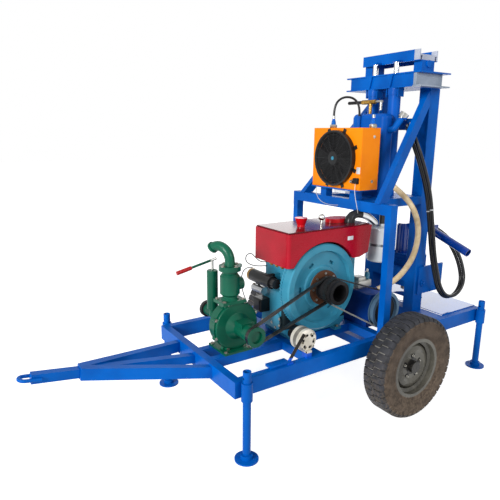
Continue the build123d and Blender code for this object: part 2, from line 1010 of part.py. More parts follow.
# Lift cylinders: barrels under the head beam, rods that carry the crown
gland_bottom = head_beam_bottom - gland_height
barrel_bottom = head_beam_bottom - barrel_length
bore_bottom = barrel_bottom + barrel_cap
rod_bottom = gland_bottom - lift_stroke - rod_spare
with BuildPart() as lift_barrels:
    for y in (-cylinder_spread, cylinder_spread):
        post(x_lift, y, barrel_bottom, barrel_r, barrel_length)
        post(x_lift, y, gland_bottom, barrel_r + gland_proud, gland_height)
        post(x_lift, y, bore_bottom, barrel_bore_r, gland_bottom - bore_bottom, Mode.SUBTRACT)
        post(x_lift, y, gland_bottom, lift_rod_r + lift_rod_clearance, gland_height, Mode.SUBTRACT)
save(lift_barrels, "lift_barrels")
with BuildPart() as lift_rods:
    for y in (-cylinder_spread, cylinder_spread):
        post(x_lift, y, rod_bottom, lift_rod_r, crown_bottom - rod_bottom)
save(lift_rods, "lift_rods")

# Crown: upright flanges on a level web, pads over the rods and a sheave block with bosses at each end
x_crown = x_mast + crown_ahead
crown_rear = x_crown - crown_depth
crown_web_z = (crown_bottom + crown_top) / 2
block_bottom = head_beam_top + crown_rest_gap
block_z = (block_bottom + crown_web_z) / 2
with BuildPart() as crown_beam:
    for front in (x_crown, crown_rear + crown_plate):
        slab((front - crown_plate, front), (-crown_half, crown_half), (crown_bottom, crown_top))
    slab(
        (crown_rear + crown_plate, x_crown - crown_plate),
        (-crown_half, crown_half),
        (crown_web_z - crown_plate / 2, crown_web_z + crown_plate / 2),
    )
    for side in (-1, 1):
        slab(
            (x_crown, x_lift + lift_rod_r + rod_hole_gap),
            (side * cylinder_spread - crown_pad_half, side * cylinder_spread + crown_pad_half),
            (crown_bottom, crown_bottom + crown_pad),
        )
        slab(
            (crown_rear + sheave_block_inset, x_crown - sheave_block_inset),
            (side * (crown_half - sheave_block), side * crown_half),
            (block_bottom, crown_web_z - crown_plate / 2),
        )
        block_end = Vector((x_crown + crown_rear) / 2, side * crown_half, block_z)
        round_bar(block_end, block_end + Vector(0, side * sheave_boss, 0), sheave_boss_r)
save(crown_beam, "crown_beam")

# Power head: carriage round the columns, gearbox, motor, spindle and the water swivel with its pipe
carriage_rear = x_mast - column_depth - carriage_gap
gearbox_front = carriage_rear - carriage_plate
gearbox_top = head_bottom + gearbox_height
carriage_y = column_outer + carriage_gap
with BuildPart() as head_carriage:
    for side in (-1, 1):
        slab(
            (x_head - carriage_reach, x_mast - carriage_lap),
            (side * carriage_y, side * (carriage_y + carriage_plate)),
            (carriage_bottom, carriage_bottom + carriage_height),
        )
    slab(
        (gearbox_front, carriage_rear),
        (-carriage_y, carriage_y),
        (carriage_bottom, carriage_bottom + carriage_height),
    )
save(head_carriage, "head_carriage")
with BuildPart() as head_gearbox:
    slab(
        (x_head - gearbox_back, gearbox_front),
        (-gearbox_half, gearbox_half),
        (head_bottom, gearbox_top - gearbox_cover),
    )
    fillet(head_gearbox.edges().filter_by(Axis.Z), gearbox_round)
    slab(
        (x_head - gearbox_back + gearbox_cover_inset, gearbox_front),
        (-gearbox_half + gearbox_cover_inset, gearbox_half - gearbox_cover_inset),
        (gearbox_top - gearbox_cover, gearbox_top),
    )
    post(x_head, 0, head_bottom, spindle_shaft_r + spindle_clearance, spindle_seat, Mode.SUBTRACT)
save(head_gearbox, "head_gearbox")
motor_x = x_head + head_motor_shift
with BuildPart() as head_motor:
    post(motor_x, head_motor_y, gearbox_top, *head_motor_flange)
    post(motor_x, head_motor_y, gearbox_top, head_motor_r, head_motor_height)
    post(motor_x, head_motor_y, gearbox_top + head_motor_height, *head_motor_cap)
    slab(
        (hose_port_x, x_head + port_block_ahead),
        (port_block_right, port_block_middle),
        (port_block_bottom, port_block_top),
    )
    slab(
        (hose_port_x, hose_port_x + port_block_depth),
        (port_block_right, port_block_left),
        (port_block_bottom, port_block_top),
    )
    for *rest, before, end in head_hose_routes:
        round_bar(end, end + (end - before).normalized() * nipple_length, head_hose_r - nipple_wall)
save(head_motor, "head_motor")
swivel_mid = Vector(x_head + swivel_x, swivel_y, swivel_z)
pipe_end = Vector(x_head + swivel_x, swivel_reach, swivel_z - swivel_fall)
pipe_along = (pipe_end - swivel_mid).normalized()
with BuildPart() as swivel_pipe:
    post(swivel_mid.X, swivel_mid.Y, gearbox_top, swivel_body_r, swivel_z + swivel_cap - gearbox_top)
    round_bar(swivel_mid, pipe_end, swivel_pipe_r)
    bore_start = swivel_mid + pipe_along * swivel_open
    round_bar(bore_start, pipe_end, swivel_pipe_r - swivel_wall, mode=Mode.SUBTRACT)
save(swivel_pipe, "swivel_pipe")
with BuildPart() as head_spindle:
    post(x_head, 0, head_bottom - spindle_drop, spindle_shaft_r, spindle_drop + spindle_seat - seat_gap)
    post(x_head, 0, head_bottom - spindle_drop, spindle_collar_r, spindle_drop - seat_gap)
    post(x_head, 0, head_bottom - spindle_drop, drill_socket_r, drill_socket_depth, Mode.SUBTRACT)
save(head_spindle, "head_spindle")

# Engine: crankcase with a set-back cylinder block, feet, the shaft's boss and a round cover on its front
block_front = crankcase_front + crankcase_step
foot_backs = (crankcase_front + foot_insets[0], crankcase_rear - foot_insets[1] - foot_length)
crankcase_bottom = rail_top + foot_height
with BuildPart() as engine_crankcase:
    with BuildSketch(Plane.XZ.offset(-crankcase_near)):
        with BuildLine():
            Polyline(
                (x_front - crankcase_front - crankcase_sump, crankcase_bottom),
                (x_front - crankcase_front, crankcase_bottom + crankcase_sump),
                (x_front - crankcase_front, hopper_bottom - crankcase_shoulder),
                (x_front - block_front, hopper_bottom - crankcase_shoulder + crankcase_step),
                (x_front - block_front, hopper_bottom),
                (x_front - crankcase_rear, hopper_bottom),
                (x_front - crankcase_rear, crankcase_bottom + crankcase_sump),
                (x_front - crankcase_rear + crankcase_sump, crankcase_bottom),
                close=True,
            )
        make_face()
    extrude(amount=crankcase_near - crankcase_far)
    fillet(engine_crankcase.edges().filter_by(Axis.Z), crankcase_round)
    for back in foot_backs:
        slab(
            (x_front - back - foot_length, x_front - back),
            (crankcase_far - foot_overhang, crankcase_near + foot_overhang),
            (rail_top, crankcase_bottom + weld_sink),
        )
    boss_end = flywheel_face - flywheel_thick - seat_gap
    round_bar((x_crank, crankcase_near, crank_height), (x_crank, boss_end, crank_height), crank_boss_r)
    cover_x, cover_z = x_front - crankcase_front, crank_height - cover_drop
    round_bar((cover_x, cover_y, cover_z), (cover_x + cover_thick, cover_y, cover_z), cover_r)
save(engine_crankcase, "engine_crankcase")

# Water hopper: a lid on a box with rounded front corners, a drawn-in tail and an arch over the flywheel
with BuildPart() as water_hopper:
    with BuildSketch(Plane.XZ.offset(-hopper_near)):
        with BuildLine():
            Polyline(
                (x_front - hopper_front, hopper_bottom),
                (x_front - hopper_front, hopper_top - hopper_lid),
                (x_front - hopper_rear, hopper_top - hopper_lid),
                (x_front - hopper_rear + hopper_tail[0], hopper_bottom + hopper_tail[1]),
                (x_front - crankcase_rear, hopper_bottom),
                close=True,
            )
        make_face()
    extrude(amount=hopper_near - hopper_far)
    fillet(water_hopper.edges().filter_by(Axis.Z), hopper_round)
    with BuildSketch(Plane.XZ.offset(-hopper_near)):
        with Locations((x_crank, crank_height)):
            Circle(flywheel_r + flywheel_gap)
    extrude(amount=hopper_near - crankcase_near, mode=Mode.SUBTRACT)
    slab(
        (x_front - hopper_rear + hopper_lid_inset, x_front - hopper_front - hopper_lid_inset),
        (hopper_far + hopper_lid_inset, hopper_near - hopper_lid_inset),
        (hopper_top - hopper_lid, hopper_top),
    )
save(water_hopper, "water_hopper")
with BuildPart() as hopper_fittings:
    post(x_front - cap_back, cap_y, hopper_top, *cap_neck)
    with Locations((x_front - cap_back, cap_y, hopper_top + cap_neck[1])):
        Cone(cap_neck[0], *cap_cone, align=(Align.CENTER, Align.CENTER, Align.MIN))
    post(x_front - gauge_back, gauge_y, hopper_top, *gauge_stem)
    with Locations((x_front - gauge_back, gauge_y, hopper_top + gauge_stem[1] + gauge_ball_r / 2)):
        Sphere(gauge_ball_r)
    with BuildSketch(Plane.XY.offset(hopper_top)):
        with Locations((x_front - lid_back, lid_y)):
            Ellipse(*lid_size)
    extrude(amount=lid_height)
save(hopper_fittings, "hopper_fittings")
with BuildPart() as engine_head:
    slab((x_front - head_rear, x_front - crankcase_rear), (head_right, head_left), (head_low, head_high))
    fillet(engine_head.edges().group_by(Axis.X)[0], head_round)
    rocker_y, rocker_z = (head_right + head_left) / 2, (head_low + head_high) / 2
    round_bar(
        (x_front - head_rear, rocker_y, rocker_z),
        (x_front - head_rear - rocker_cover, rocker_y, rocker_z),
        rocker_cover_r,
    )
save(engine_head, "engine_head")
muffler_x = x_front - muffler_back
muffler_z = hopper_top + muffler_rise
with BuildPart() as exhaust_elbow:
    post(muffler_x, muffler_y, hopper_top, *muffler_flange)
    with BuildLine(Plane.XZ.offset(-muffler_y)):
        FilletPolyline(
            (muffler_x, hopper_top),
            (muffler_x, muffler_z),
            (muffler_x - muffler_reach, muffler_z),
            radius=muffler_bend,
        )
    with BuildSketch(Plane.XY.offset(hopper_top)):
        with Locations((muffler_x, muffler_y)):
            Circle(muffler_r)
    sweep()
save(exhaust_elbow, "exhaust_elbow")

# Starter with its solenoid and bracket, oil filter and air cleaner
x_starter = x_front - starter_back
solenoid_z = starter_height - solenoid_drop
with BuildPart() as starter_motor:
    nose_start = (x_starter, starter_left, starter_height)
    nose_end = (x_starter, crankcase_near - starter_nose_gap, starter_height)
    round_bar((x_starter, starter_right, starter_height), nose_start, starter_r)
    round_bar(nose_start, nose_end, starter_nose_r)
    slab(
        (x_front - block_front, x_starter),
        starter_bracket,
        (starter_height - starter_bracket_half, starter_height + starter_bracket_half),
    )
    round_bar((x_starter, -solenoid_half, solenoid_z), (x_starter, solenoid_half, solenoid_z), solenoid_r)
    slab(
        (x_starter - solenoid_lug[0], x_starter + solenoid_lug[0]),
        (-solenoid_lug[1], 0),
        (solenoid_z, starter_height),
    )
save(starter_motor, "starter_motor")
with BuildPart() as fuel_filter:
    slab(
        (x_front - crankcase_front, x_front - filter_front),
        (filter_right, filter_left),
        (filter_bottom, filter_top),
    )
    fillet(fuel_filter.edges().group_by(Axis.X)[-1], filter_round)
save(fuel_filter, "fuel_filter")
x_cleaner = x_front - air_cleaner_back
cleaner_top = air_cleaner_bottom + air_cleaner_height
with BuildPart() as air_cleaner:
    post(x_cleaner, air_cleaner_y, air_cleaner_bottom, air_cleaner_r, air_cleaner_height)
    fillet(air_cleaner.edges().filter_by(GeomType.CIRCLE), air_cleaner_round)
    with Locations((x_cleaner, air_cleaner_y, air_cleaner_bottom + air_cleaner_height / 2)):
        Cylinder(air_cleaner_outer_r, air_cleaner_band[1])
    post(
        x_cleaner,
        air_cleaner_y,
        cleaner_top - weld_sink,
        air_cleaner_neck_r,
        gantry_top - side_beam_height - cleaner_top + weld_sink,
    )
save(air_cleaner, "air_cleaner")

# Flywheel: a turned body with a dished face, windows round the hub, and a ring of starter teeth
flywheel_back = flywheel_face - flywheel_thick
dish_y = flywheel_face - flywheel_dish
ring_y = dish_y + flywheel_ring_rise
crank_axis = Axis((x_crank, 0, crank_height), (0, 1, 0))
turned_plane = Plane(origin=(x_crank, 0, crank_height), x_dir=(1, 0, 0), z_dir=(0, 0, 1))
with BuildPart() as flywheel:
    with BuildSketch(turned_plane):
        with BuildLine():
            Polyline(
                (0, flywheel_back),
                (flywheel_r, flywheel_back),
                (flywheel_r, flywheel_face - flywheel_edge),
                (flywheel_r - flywheel_edge, flywheel_face),
                (flywheel_r - flywheel_rim, flywheel_face),
                (flywheel_r - flywheel_rim - flywheel_edge, dish_y),
                (flywheel_hub_r + flywheel_ring, dish_y),
                (flywheel_hub_r + flywheel_ring - flywheel_edge, ring_y),
                (flywheel_hub_r, ring_y),
                (flywheel_hub_r, flywheel_face),
                (0, flywheel_face),
                close=True,
            )
        make_face()
    revolve(axis=crank_axis)
    with BuildSketch(Plane.XZ.offset(-flywheel_back - gear_width)):
        with Locations((x_crank, crank_height)):
            Circle(flywheel_r + weld_sink)
            with PolarLocations(flywheel_r + gear_tooth / 2, gear_teeth):
                Rectangle(gear_tooth, gear_tooth)
            Circle(flywheel_r - flywheel_rim, mode=Mode.SUBTRACT)
    extrude(amount=gear_width)
    with BuildSketch(Plane.XZ.offset(-flywheel_face)):
        with Locations((x_crank, crank_height)):
            with PolarLocations(flywheel_window_r, flywheel_windows):
                SlotOverall(*flywheel_window, rotation=90)
    extrude(amount=flywheel_thick / 2, mode=Mode.SUBTRACT)
save(flywheel, "flywheel")

# Belt drum: a hollow grooved cylinder on a bolted flange
groove_profile = []
for groove_y in groove_ys:
    groove_profile += [
        (drum_r, groove_y - groove_half),
        (drum_r - groove_depth, groove_y),
        (drum_r, groove_y + groove_half),
    ]
with BuildPart() as belt_drum:
    with BuildSketch(turned_plane):
        with BuildLine():
            Polyline(
                (0, flywheel_face),
                (drum_flange_r, flywheel_face),
                (drum_flange_r, flywheel_face + drum_flange),
                (drum_r, flywheel_face + drum_flange),
                *groove_profile,
                (drum_r, drum_end),
                (drum_bore_r, drum_end),
                (drum_bore_r, drum_end - drum_bore_depth),
                (0, drum_end - drum_bore_depth),
                close=True,
            )
        make_face()
    revolve(axis=crank_axis)
    with BuildSketch(Plane.XZ.offset(-flywheel_face - drum_flange)):
        with Locations((x_crank, crank_height)):
            with PolarLocations(drum_bolt_pcd / 2, drum_bolts):
                RegularPolygon(drum_bolt_r, 6)
    extrude(amount=-drum_bolt_height)
save(belt_drum, "belt_drum")

# Mud pump: turned casing with a bolted split flange, bearing housing, neck, webbed foot
valve_x = x_front - valve_back
valve_z = pump_height + volute_r + valve_gap
cover_side = volute_y - volute_half - pump_cover
housing_end = pump_pulley_y - shaft_nose_gap
pump_axis = Axis((x_pump, 0, pump_height), (0, 1, 0))
foot_top = rail_top + pump_foot_thick
neck_top = valve_z - pump_flange[2]
with BuildPart() as mud_pump:
    with BuildSketch(Plane(origin=(x_pump, 0, pump_height), x_dir=(1, 0, 0), z_dir=(0, 0, 1))):
        with BuildLine():
            casing = FilletPolyline(
                (0, cover_side),
                (pump_cover_r, cover_side),
                (pump_cover_r, volute_y - volute_half),
                (volute_r, volute_y - volute_half),
                (volute_r, volute_y + volute_half),
                (housing_flare[0], volute_y + volute_half),
                (housing_r, volute_y + volute_half + housing_flare[1]),
                (housing_r, housing_end),
                (0, housing_end),
                radius=casing_round,
            )
            Line(casing @ 1, casing @ 0)
        make_face()
    revolve(axis=pump_axis)
    split_y = volute_y + split_flange_shift
    split_r = volute_r + split_flange_proud
    split_ends = [(x_pump, split_y + end * split_flange / 2, pump_height) for end in (-1, 1)]
    round_bar(*split_ends, split_r)
    with BuildSketch(Plane.XZ.offset(-split_y - pump_lug_half)):
        with Locations((x_pump, pump_height)):
            with PolarLocations(split_r, pump_lugs, start_angle=180 / pump_lugs):
                Circle(pump_lug_r)
    extrude(amount=2 * pump_lug_half)
    slab(
        (valve_x - pump_neck[0] / 2, valve_x + pump_neck[0] / 2),
        (volute_y - pump_neck[1] / 2, volute_y + pump_neck[1] / 2),
        (pump_height + pump_neck_rise, neck_top),
    )
    slab(
        (valve_x - pump_flange[0] / 2, valve_x + pump_flange[0] / 2),
        (volute_y - pump_flange[1] / 2, volute_y + pump_flange[1] / 2),
        (neck_top - pump_flange[2], neck_top),
    )
    plate_length, plate_width, plate_top = housing_plate
    plate_y = (volute_y + volute_half + housing_end) / 2
    slab(
        (x_pump - plate_length / 2, x_pump + plate_length / 2),
        (plate_y - plate_width / 2, plate_y + plate_width / 2),
        (pump_height + housing_r / 2, pump_height + plate_top),
    )
    slab(
        (x_pump - pump_foot[1], x_pump + pump_foot[0]),
        (power_line_y - pump_foot[2], power_line_y + pump_foot[2]),
        (rail_top, foot_top),
    )
    with BuildSketch(Plane.XZ.offset(-volute_y - pump_web_half)):
        with BuildLine():
            Polyline(
                (x_pump - pump_web_foot, foot_top),
                (x_pump + pump_web_foot, foot_top),
                (x_pump + pump_web_top, foot_top + pump_web_height),
                (x_pump - pump_web_top, foot_top + pump_web_height),
                close=True,
            )
        make_face()
    extrude(amount=2 * pump_web_half)
save(mud_pump, "mud_pump")
with BuildPart() as mud_pump_pulley:
    belt_pulley(x_pump, pump_pulley_y, pump_height, pump_pulley_r)
save(mud_pump_pulley, "mud_pump_pulley")

# Check valve: a turned body with a domed cover on its side, between two flanges
elbow_z = valve_z + valve_height
with BuildPart() as check_valve:
    slab(
        (valve_x - pump_flange[0] / 2, valve_x + pump_flange[0] / 2),
        (volute_y - pump_flange[1] / 2, volute_y + pump_flange[1] / 2),
        (neck_top, valve_z),
    )
    with BuildSketch(Plane(origin=(valve_x, volute_y, valve_z), x_dir=(1, 0, 0), z_dir=(0, -1, 0))):
        with BuildLine():
            Polyline(
                (0, 0),
                (valve_neck_r + pump_flange[2], 0),
                (valve_neck_r, pump_flange[2]),
                (valve_neck_r, valve_body[0] - valve_flange),
                (valve_r, valve_body[0]),
                (valve_r, valve_body[1]),
                (valve_neck_r, valve_height - 2 * valve_flange),
                (valve_neck_r, valve_height - valve_flange),
                (valve_flange_r, valve_height - valve_flange),
                (valve_flange_r, valve_height),
                (0, valve_height),
                close=True,
            )
        make_face()
    revolve(axis=Axis((valve_x, volute_y, 0), (0, 0, 1)))
    dome_r, dome_reach, dome_rise = valve_dome
    dome_start = Vector(valve_x, volute_y, valve_z + dome_rise)
    round_bar(dome_start, dome_start - Vector(dome_reach, 0, 0), dome_r)
save(check_valve, "check_valve")
heading = math.radians(elbow_heading)
elbow_side = Vector(math.cos(heading), math.sin(heading), 0)
elbow_start = Vector(valve_x, volute_y, elbow_z)
bend_start = elbow_start + Vector(0, 0, elbow_rise)
elbow_plane = Plane(origin=bend_start, x_dir=elbow_side, z_dir=elbow_side.cross(Vector(0, 0, 1)))
with BuildPart() as discharge_elbow:
    with BuildLine(elbow_plane):
        bend = CenterArc((elbow_bend_r, 0), elbow_bend_r, 180, -elbow_turn)
    with BuildSketch(Plane.XY.offset(bend_start.Z).shift_origin(bend_start)):
        Circle(elbow_pipe_r)
    sweep()
    with Locations(elbow_start):
        Cone(elbow_root_r, elbow_pipe_r, elbow_rise, align=(Align.CENTER, Align.CENTER, Align.MIN))
        Cylinder(valve_flange_r, valve_flange, align=(Align.CENTER, Align.CENTER, Align.MIN))
    ear_r, ear_reach = valve_ear
    post(elbow_start.X - ear_reach + ear_r, elbow_start.Y, elbow_start.Z, ear_r, valve_flange)
    lip_proud, lip_length = elbow_lip
    bend_end = bend @ 1
    round_bar(bend_end - (bend % 1) * lip_length, bend_end, elbow_pipe_r + lip_proud)
save(discharge_elbow, "discharge_elbow")

# Suction pipe and the hand-primed pump that stands on it
suction_end = -suction_reach
flange_r, flange_depth = suction_flange
with BuildPart() as suction_pipe:
    round_bar((x_pump, cover_side, pump_height), (x_pump, suction_end, pump_height), suction_r)
    round_bar((x_pump, suction_end + flange_depth, pump_height), (x_pump, suction_end, pump_height), flange_r)
    round_bar(
        (x_pump, suction_end + suction_bore_depth, pump_height),
        (x_pump, suction_end, pump_height),
        suction_bore_r,
        mode=Mode.SUBTRACT,
    )
save(suction_pipe, "suction_pipe")
primer_x = x_pump + primer_shift
primer_bottom = pump_height + primer_rise
primer_top = primer_bottom + primer_height
rod_r, rod_height = primer_rod
lever_z = primer_top + rod_height
with BuildPart() as priming_pump:
    post(primer_x, primer_y, primer_bottom, primer_r, primer_height)
    fillet(priming_pump.edges().filter_by(GeomType.CIRCLE), primer_round)
    post(primer_x, primer_y, pump_height, primer_base_r, primer_rise + primer_round)
    pipe_ends = [(x_pump, y, pump_height) for y in (volute_y, suction_end)]
    round_bar(*pipe_ends, suction_r, mode=Mode.SUBTRACT)
    post(primer_x, primer_y, primer_top - weld_sink, rod_r, rod_height)
    lever_start = Vector(primer_x - lever_back, primer_y, lever_z + lever_rise)
    lever_end = Vector(primer_x + lever_front, primer_y, lever_z - lever_fall)
    lever_along = (lever_end - lever_start).normalized()
    round_bar(lever_start, lever_end, lever_r)
    round_bar(lever_end - lever_along * grip_length, lever_end, grip_r)
save(priming_pump, "priming_pump")

# Hydraulic pump behind the engine, on its own base, with the large belt pulley
hyd_case_end = hyd_pulley_y - hyd_case_gap
with BuildPart() as hydraulic_pump:
    slab(
        (x_hyd - hyd_case_half, x_hyd + hyd_case_half),
        (hyd_case_right, hyd_case_end),
        (hyd_pulley_height - hyd_case_low, hyd_pulley_height + hyd_case_high),
    )
    fillet(hydraulic_pump.edges().filter_by(Axis.Y), hyd_case_round)
    slab(
        (x_hyd - hyd_stand_half, x_hyd + hyd_stand_half),
        (hyd_case_right, hyd_pulley_y - hyd_stand_gap),
        (rail_top, hyd_pulley_height - hyd_case_low + weld_sink),
    )
    nose_ends = [(x_hyd, y, hyd_pulley_height) for y in (hyd_case_end, hyd_pulley_y - shaft_nose_gap)]
    round_bar(*nose_ends, hyd_nose_r)
    before, end = suction_route[-2:]
    round_bar(end, end + (end - before).normalized() * nipple_length, suction_hose_r - nipple_wall)
save(hydraulic_pump, "hydraulic_pump")
with BuildPart() as hydraulic_pulley:
    belt_pulley(x_hyd, hyd_pulley_y, hyd_pulley_height, hyd_pulley_r)
save(hydraulic_pulley, "hydraulic_pulley")

# Belts, each one fixed loop round the drum and a pulley
belt_table = [
    # name, pulley x, z and radius, y of the middle
    ("pump_belt", x_pump, pump_height, pump_pulley_r, pump_pulley_y),
    ("hydraulic_belt", x_hyd, hyd_pulley_height, hyd_pulley_r, hyd_pulley_y),
]
for name, pulley_x, pulley_z, pulley_r, middle_y in belt_table:
    with BuildPart() as belt:
        for grow, mode in ((belt_clearance + belt_thick, Mode.ADD), (belt_clearance, Mode.SUBTRACT)):
            with BuildSketch(Plane.XZ.offset(-middle_y - belt_width / 2)):
                with Locations((x_crank, crank_height)):
                    Circle(drum_r + grow)
                with Locations((pulley_x, pulley_z)):
                    Circle(pulley_r + grow)
                make_hull()
            extrude(amount=belt_width, mode=mode)
    save(belt, name)

# Alternator: turned body with windows in its outer end, on a stand and a tension bar on the rail
outer_end = alternator_y + alternator_half
inner_end = alternator_y - alternator_half
with BuildPart() as alternator:
    with BuildSketch(Plane(origin=(x_alternator, 0, alternator_z), x_dir=(1, 0, 0), z_dir=(0, 0, 1))):
        with BuildLine():
            Polyline(
                (0, inner_end),
                (alternator_r - 2 * alternator_end, inner_end),
                (alternator_r, inner_end + alternator_end),
                (alternator_r, outer_end - alternator_end),
                (alternator_r - alternator_end, outer_end),
                (0, outer_end),
                close=True,
            )
        make_face()
    revolve(axis=Axis((x_alternator, 0, alternator_z), (0, 1, 0)))
    with BuildSketch(Plane.XZ.offset(-outer_end)):
        with Locations((x_alternator, alternator_z)):
            with PolarLocations(alternator_window_ring, alternator_windows):
                Circle(alternator_window_r)
    extrude(amount=alternator_window_depth, mode=Mode.SUBTRACT)
    pulley_near, pulley_far = alternator_pulley
    pulley_start = (x_alternator, alternator_y - pulley_far, alternator_z)
    round_bar(pulley_start, (x_alternator, inner_end, alternator_z), alternator_shaft_r)
    round_bar(pulley_start, (x_alternator, alternator_y - pulley_near, alternator_z), alternator_pulley_r)
    slab(
        (x_alternator - alternator_stand_half, x_alternator + alternator_stand_half),
        (rail_inner - alternator_stand_lap, rail_y),
        (rail_top, alternator_z - alternator_r + alternator_end),
    )
    bar_thick, bar_wide = tension_bar
    bar_y = max(outer_end, rail_inner) + bar_thick / 2
    head_shift, head_rise = tension_head
    bar(
        (x_alternator + head_shift, bar_y, alternator_z + head_rise),
        (x_alternator + tension_foot, bar_y, rail_top + bar_wide / 2),
        bar_thick,
        bar_wide,
    )
    slab(
        (x_alternator + tension_foot - bar_wide, x_alternator + tension_foot + bar_wide),
        (bar_y - bar_thick / 2, bar_y + bar_wide),
        (rail_top, rail_top + bar_thick),
    )
save(alternator, "alternator")

# Oil cooler: folded case, core behind it and the fan in its guarded ring
cooler_mid = cooler_bottom + cooler_height / 2
cooler_top = cooler_bottom + cooler_height
with BuildPart() as cooler_case:
    slab(
        (x_cooler - cooler_depth, x_cooler),
        (-cooler_width / 2, cooler_width / 2),
        (cooler_bottom, cooler_top),
    )
    slab(
        (x_cooler - cooler_depth, x_cooler - cooler_wall),
        (-cooler_width / 2 + cooler_wall, cooler_width / 2 - cooler_wall),
        (cooler_bottom + cooler_wall, cooler_top - cooler_wall),
        mode=Mode.SUBTRACT,
    )
    with BuildSketch(Plane.YZ.offset(x_cooler)):
        with Locations((0, cooler_mid)):
            Circle(fan_r)
    extrude(amount=2 * cooler_wall, both=True, mode=Mode.SUBTRACT)
save(cooler_case, "cooler_case")
with BuildPart() as cooler_core:
    slab(
        (x_cooler - cooler_depth + core_gap, x_cooler - cooler_depth + core_gap + core_depth),
        (-cooler_width / 2 + cooler_wall, cooler_width / 2 - cooler_wall),
        (cooler_bottom + cooler_wall, cooler_top - cooler_wall),
    )
save(cooler_core, "cooler_core")
with BuildPart() as cooler_fittings:
    for y in (cooler_port_left, cooler_port_right):
        post(cooler_port_x, y, cooler_top, *cooler_port_nut)
        post(cooler_port_x, y, cooler_top, cooler_port_r, cooler_port_height)
save(cooler_fittings, "cooler_fittings")

# Fan guard: concentric rings on spokes between the hub and a shroud that ears hold to the case
guard_front = x_cooler + shroud_depth
ear_length, ear_width, ear_thick = fan_ear
ring_step = (fan_r - guard_inner_r) / guard_rings
with BuildPart() as fan_shroud:
    with BuildSketch(Plane.YZ.offset(x_cooler)):
        with Locations((0, cooler_mid)):
            Circle(fan_r + fan_ring)
            Circle(fan_r, mode=Mode.SUBTRACT)
    extrude(amount=shroud_depth)
    with BuildSketch(Plane.YZ.offset(x_cooler)):
        with Locations((0, cooler_mid)):
            with PolarLocations(fan_r + ear_length / 2, fan_ears, start_angle=180 / fan_ears):
                Rectangle(ear_length, ear_width)
            Circle(fan_r, mode=Mode.SUBTRACT)
    extrude(amount=ear_thick)
    with BuildSketch(Plane.YZ.offset(guard_front - guard_bar)):
        with Locations((0, cooler_mid)):
            for ring in range(guard_rings):
                ring_r = guard_inner_r + ring * ring_step
                Circle(ring_r + guard_bar / 2)
                Circle(ring_r - guard_bar / 2, mode=Mode.SUBTRACT)
            Circle(guard_hub_r)
            with PolarLocations((fan_r + guard_hub_r) / 2, guard_spokes):
                Rectangle(fan_r - guard_hub_r + 2 * guard_lap, guard_bar)
    extrude(amount=guard_bar)
    with BuildSketch(Plane.YZ.offset(guard_front - guard_bar)):
        with Locations((0, cooler_mid)):
            Circle(guard_hub_r)
    extrude(amount=-guard_hub_depth)
save(fan_shroud, "fan_shroud")
hub_front = guard_front - guard_bar - guard_hub_depth - seat_gap
blade_root_r = fan_hub_r - weld_sink
blade_tip_r = fan_r - fan_clearance
with BuildPart() as fan_rotor:
    with BuildSketch(Plane.YZ.offset(hub_front)):
        with Locations((0, cooler_mid)):
            Circle(fan_hub_r)
    extrude(amount=-fan_blade_depth)
    for count in range(fan_blades):
        spoke = Location((hub_front - fan_blade_depth / 2, 0, cooler_mid), (count * 360 / fan_blades, 0, 0))
        blade = Location((0, 0, (blade_root_r + blade_tip_r) / 2), (0, 0, fan_blade_pitch))
        with Locations(spoke * blade):
            Box(fan_blade_thick, fan_blade_width, blade_tip_r - blade_root_r)
save(fan_rotor, "fan_rotor")

# Oil tank with its ports, filler neck and shut-off valve
with BuildPart() as oil_tank:
    slab((x_tank - tank_depth, x_tank), (-tank_width / 2, tank_width / 2), (tank_bottom, tank_top))
    fillet(oil_tank.edges().filter_by(Axis.Z), tank_side_round)
    fillet(oil_tank.edges().group_by(Axis.Z)[-1], tank_top_round)
    start, after = suction_route[:2]
    round_bar(start - (after - start).normalized() * nipple_length, start, suction_hose_r - nipple_wall)
    port = cooler_route[-1]
    port_r, port_drop = tank_port
    round_bar(port - Vector(0, 0, port_drop), port, port_r)
    port_foot = port - Vector(0, 0, tank_port_back)
    round_bar(port_foot, port_foot - Vector(tank_top_round, 0, 0), port_r)
save(oil_tank, "oil_tank")
neck_start = Vector(x_tank - neck_foot, tank_width / 2, neck_height)
neck_bend = neck_start + Vector(0, neck_stub, 0)
neck_end = neck_bend + Vector(-neck_back, neck_out, neck_rise)
neck_along = (neck_end - neck_bend).normalized()
cup_r, cup_length = neck_cup
with BuildPart() as filler_neck:
    with BuildLine():
        FilletPolyline(neck_start, neck_bend, neck_end, radius=neck_r + neck_wall)
    with BuildSketch(Plane(origin=neck_start, x_dir=(1, 0, 0), z_dir=(0, 1, 0))):
        Circle(neck_r)
    sweep()
    round_bar(neck_end - neck_along * cup_length, neck_end, cup_r)
    cup_floor = neck_end - neck_along * (cup_length - neck_wall)
    round_bar(cup_floor, neck_end, cup_r - neck_wall, mode=Mode.SUBTRACT)
save(filler_neck, "filler_neck")
valve_pipe_x = x_tank - valve_pipe_behind
valve_bar_z = tank_top + valve_pipe_height
with BuildPart() as shutoff_valve:
    post(valve_pipe_x, valve_pipe_y, tank_top, valve_pipe_r, valve_pipe_height)
    body_right, body_left = valve_body_span
    valve_bar_ys = (valve_grip_y, body_right, body_left, valve_outlet_y)
    valve_bar = [Vector(valve_pipe_x, y, valve_bar_z) for y in valve_bar_ys]
    for start, end, radius in zip(valve_bar, valve_bar[1:], (valve_grip_r, valve_body_r, valve_outlet_r)):
        round_bar(start, end, radius)
    outlet_bend = valve_bar[-1] - Vector(0, valve_outlet_r, 0)
    round_bar(outlet_bend, outlet_bend - Vector(0, 0, valve_outlet_fall), valve_outlet_r)
save(shutoff_valve, "shutoff_valve")

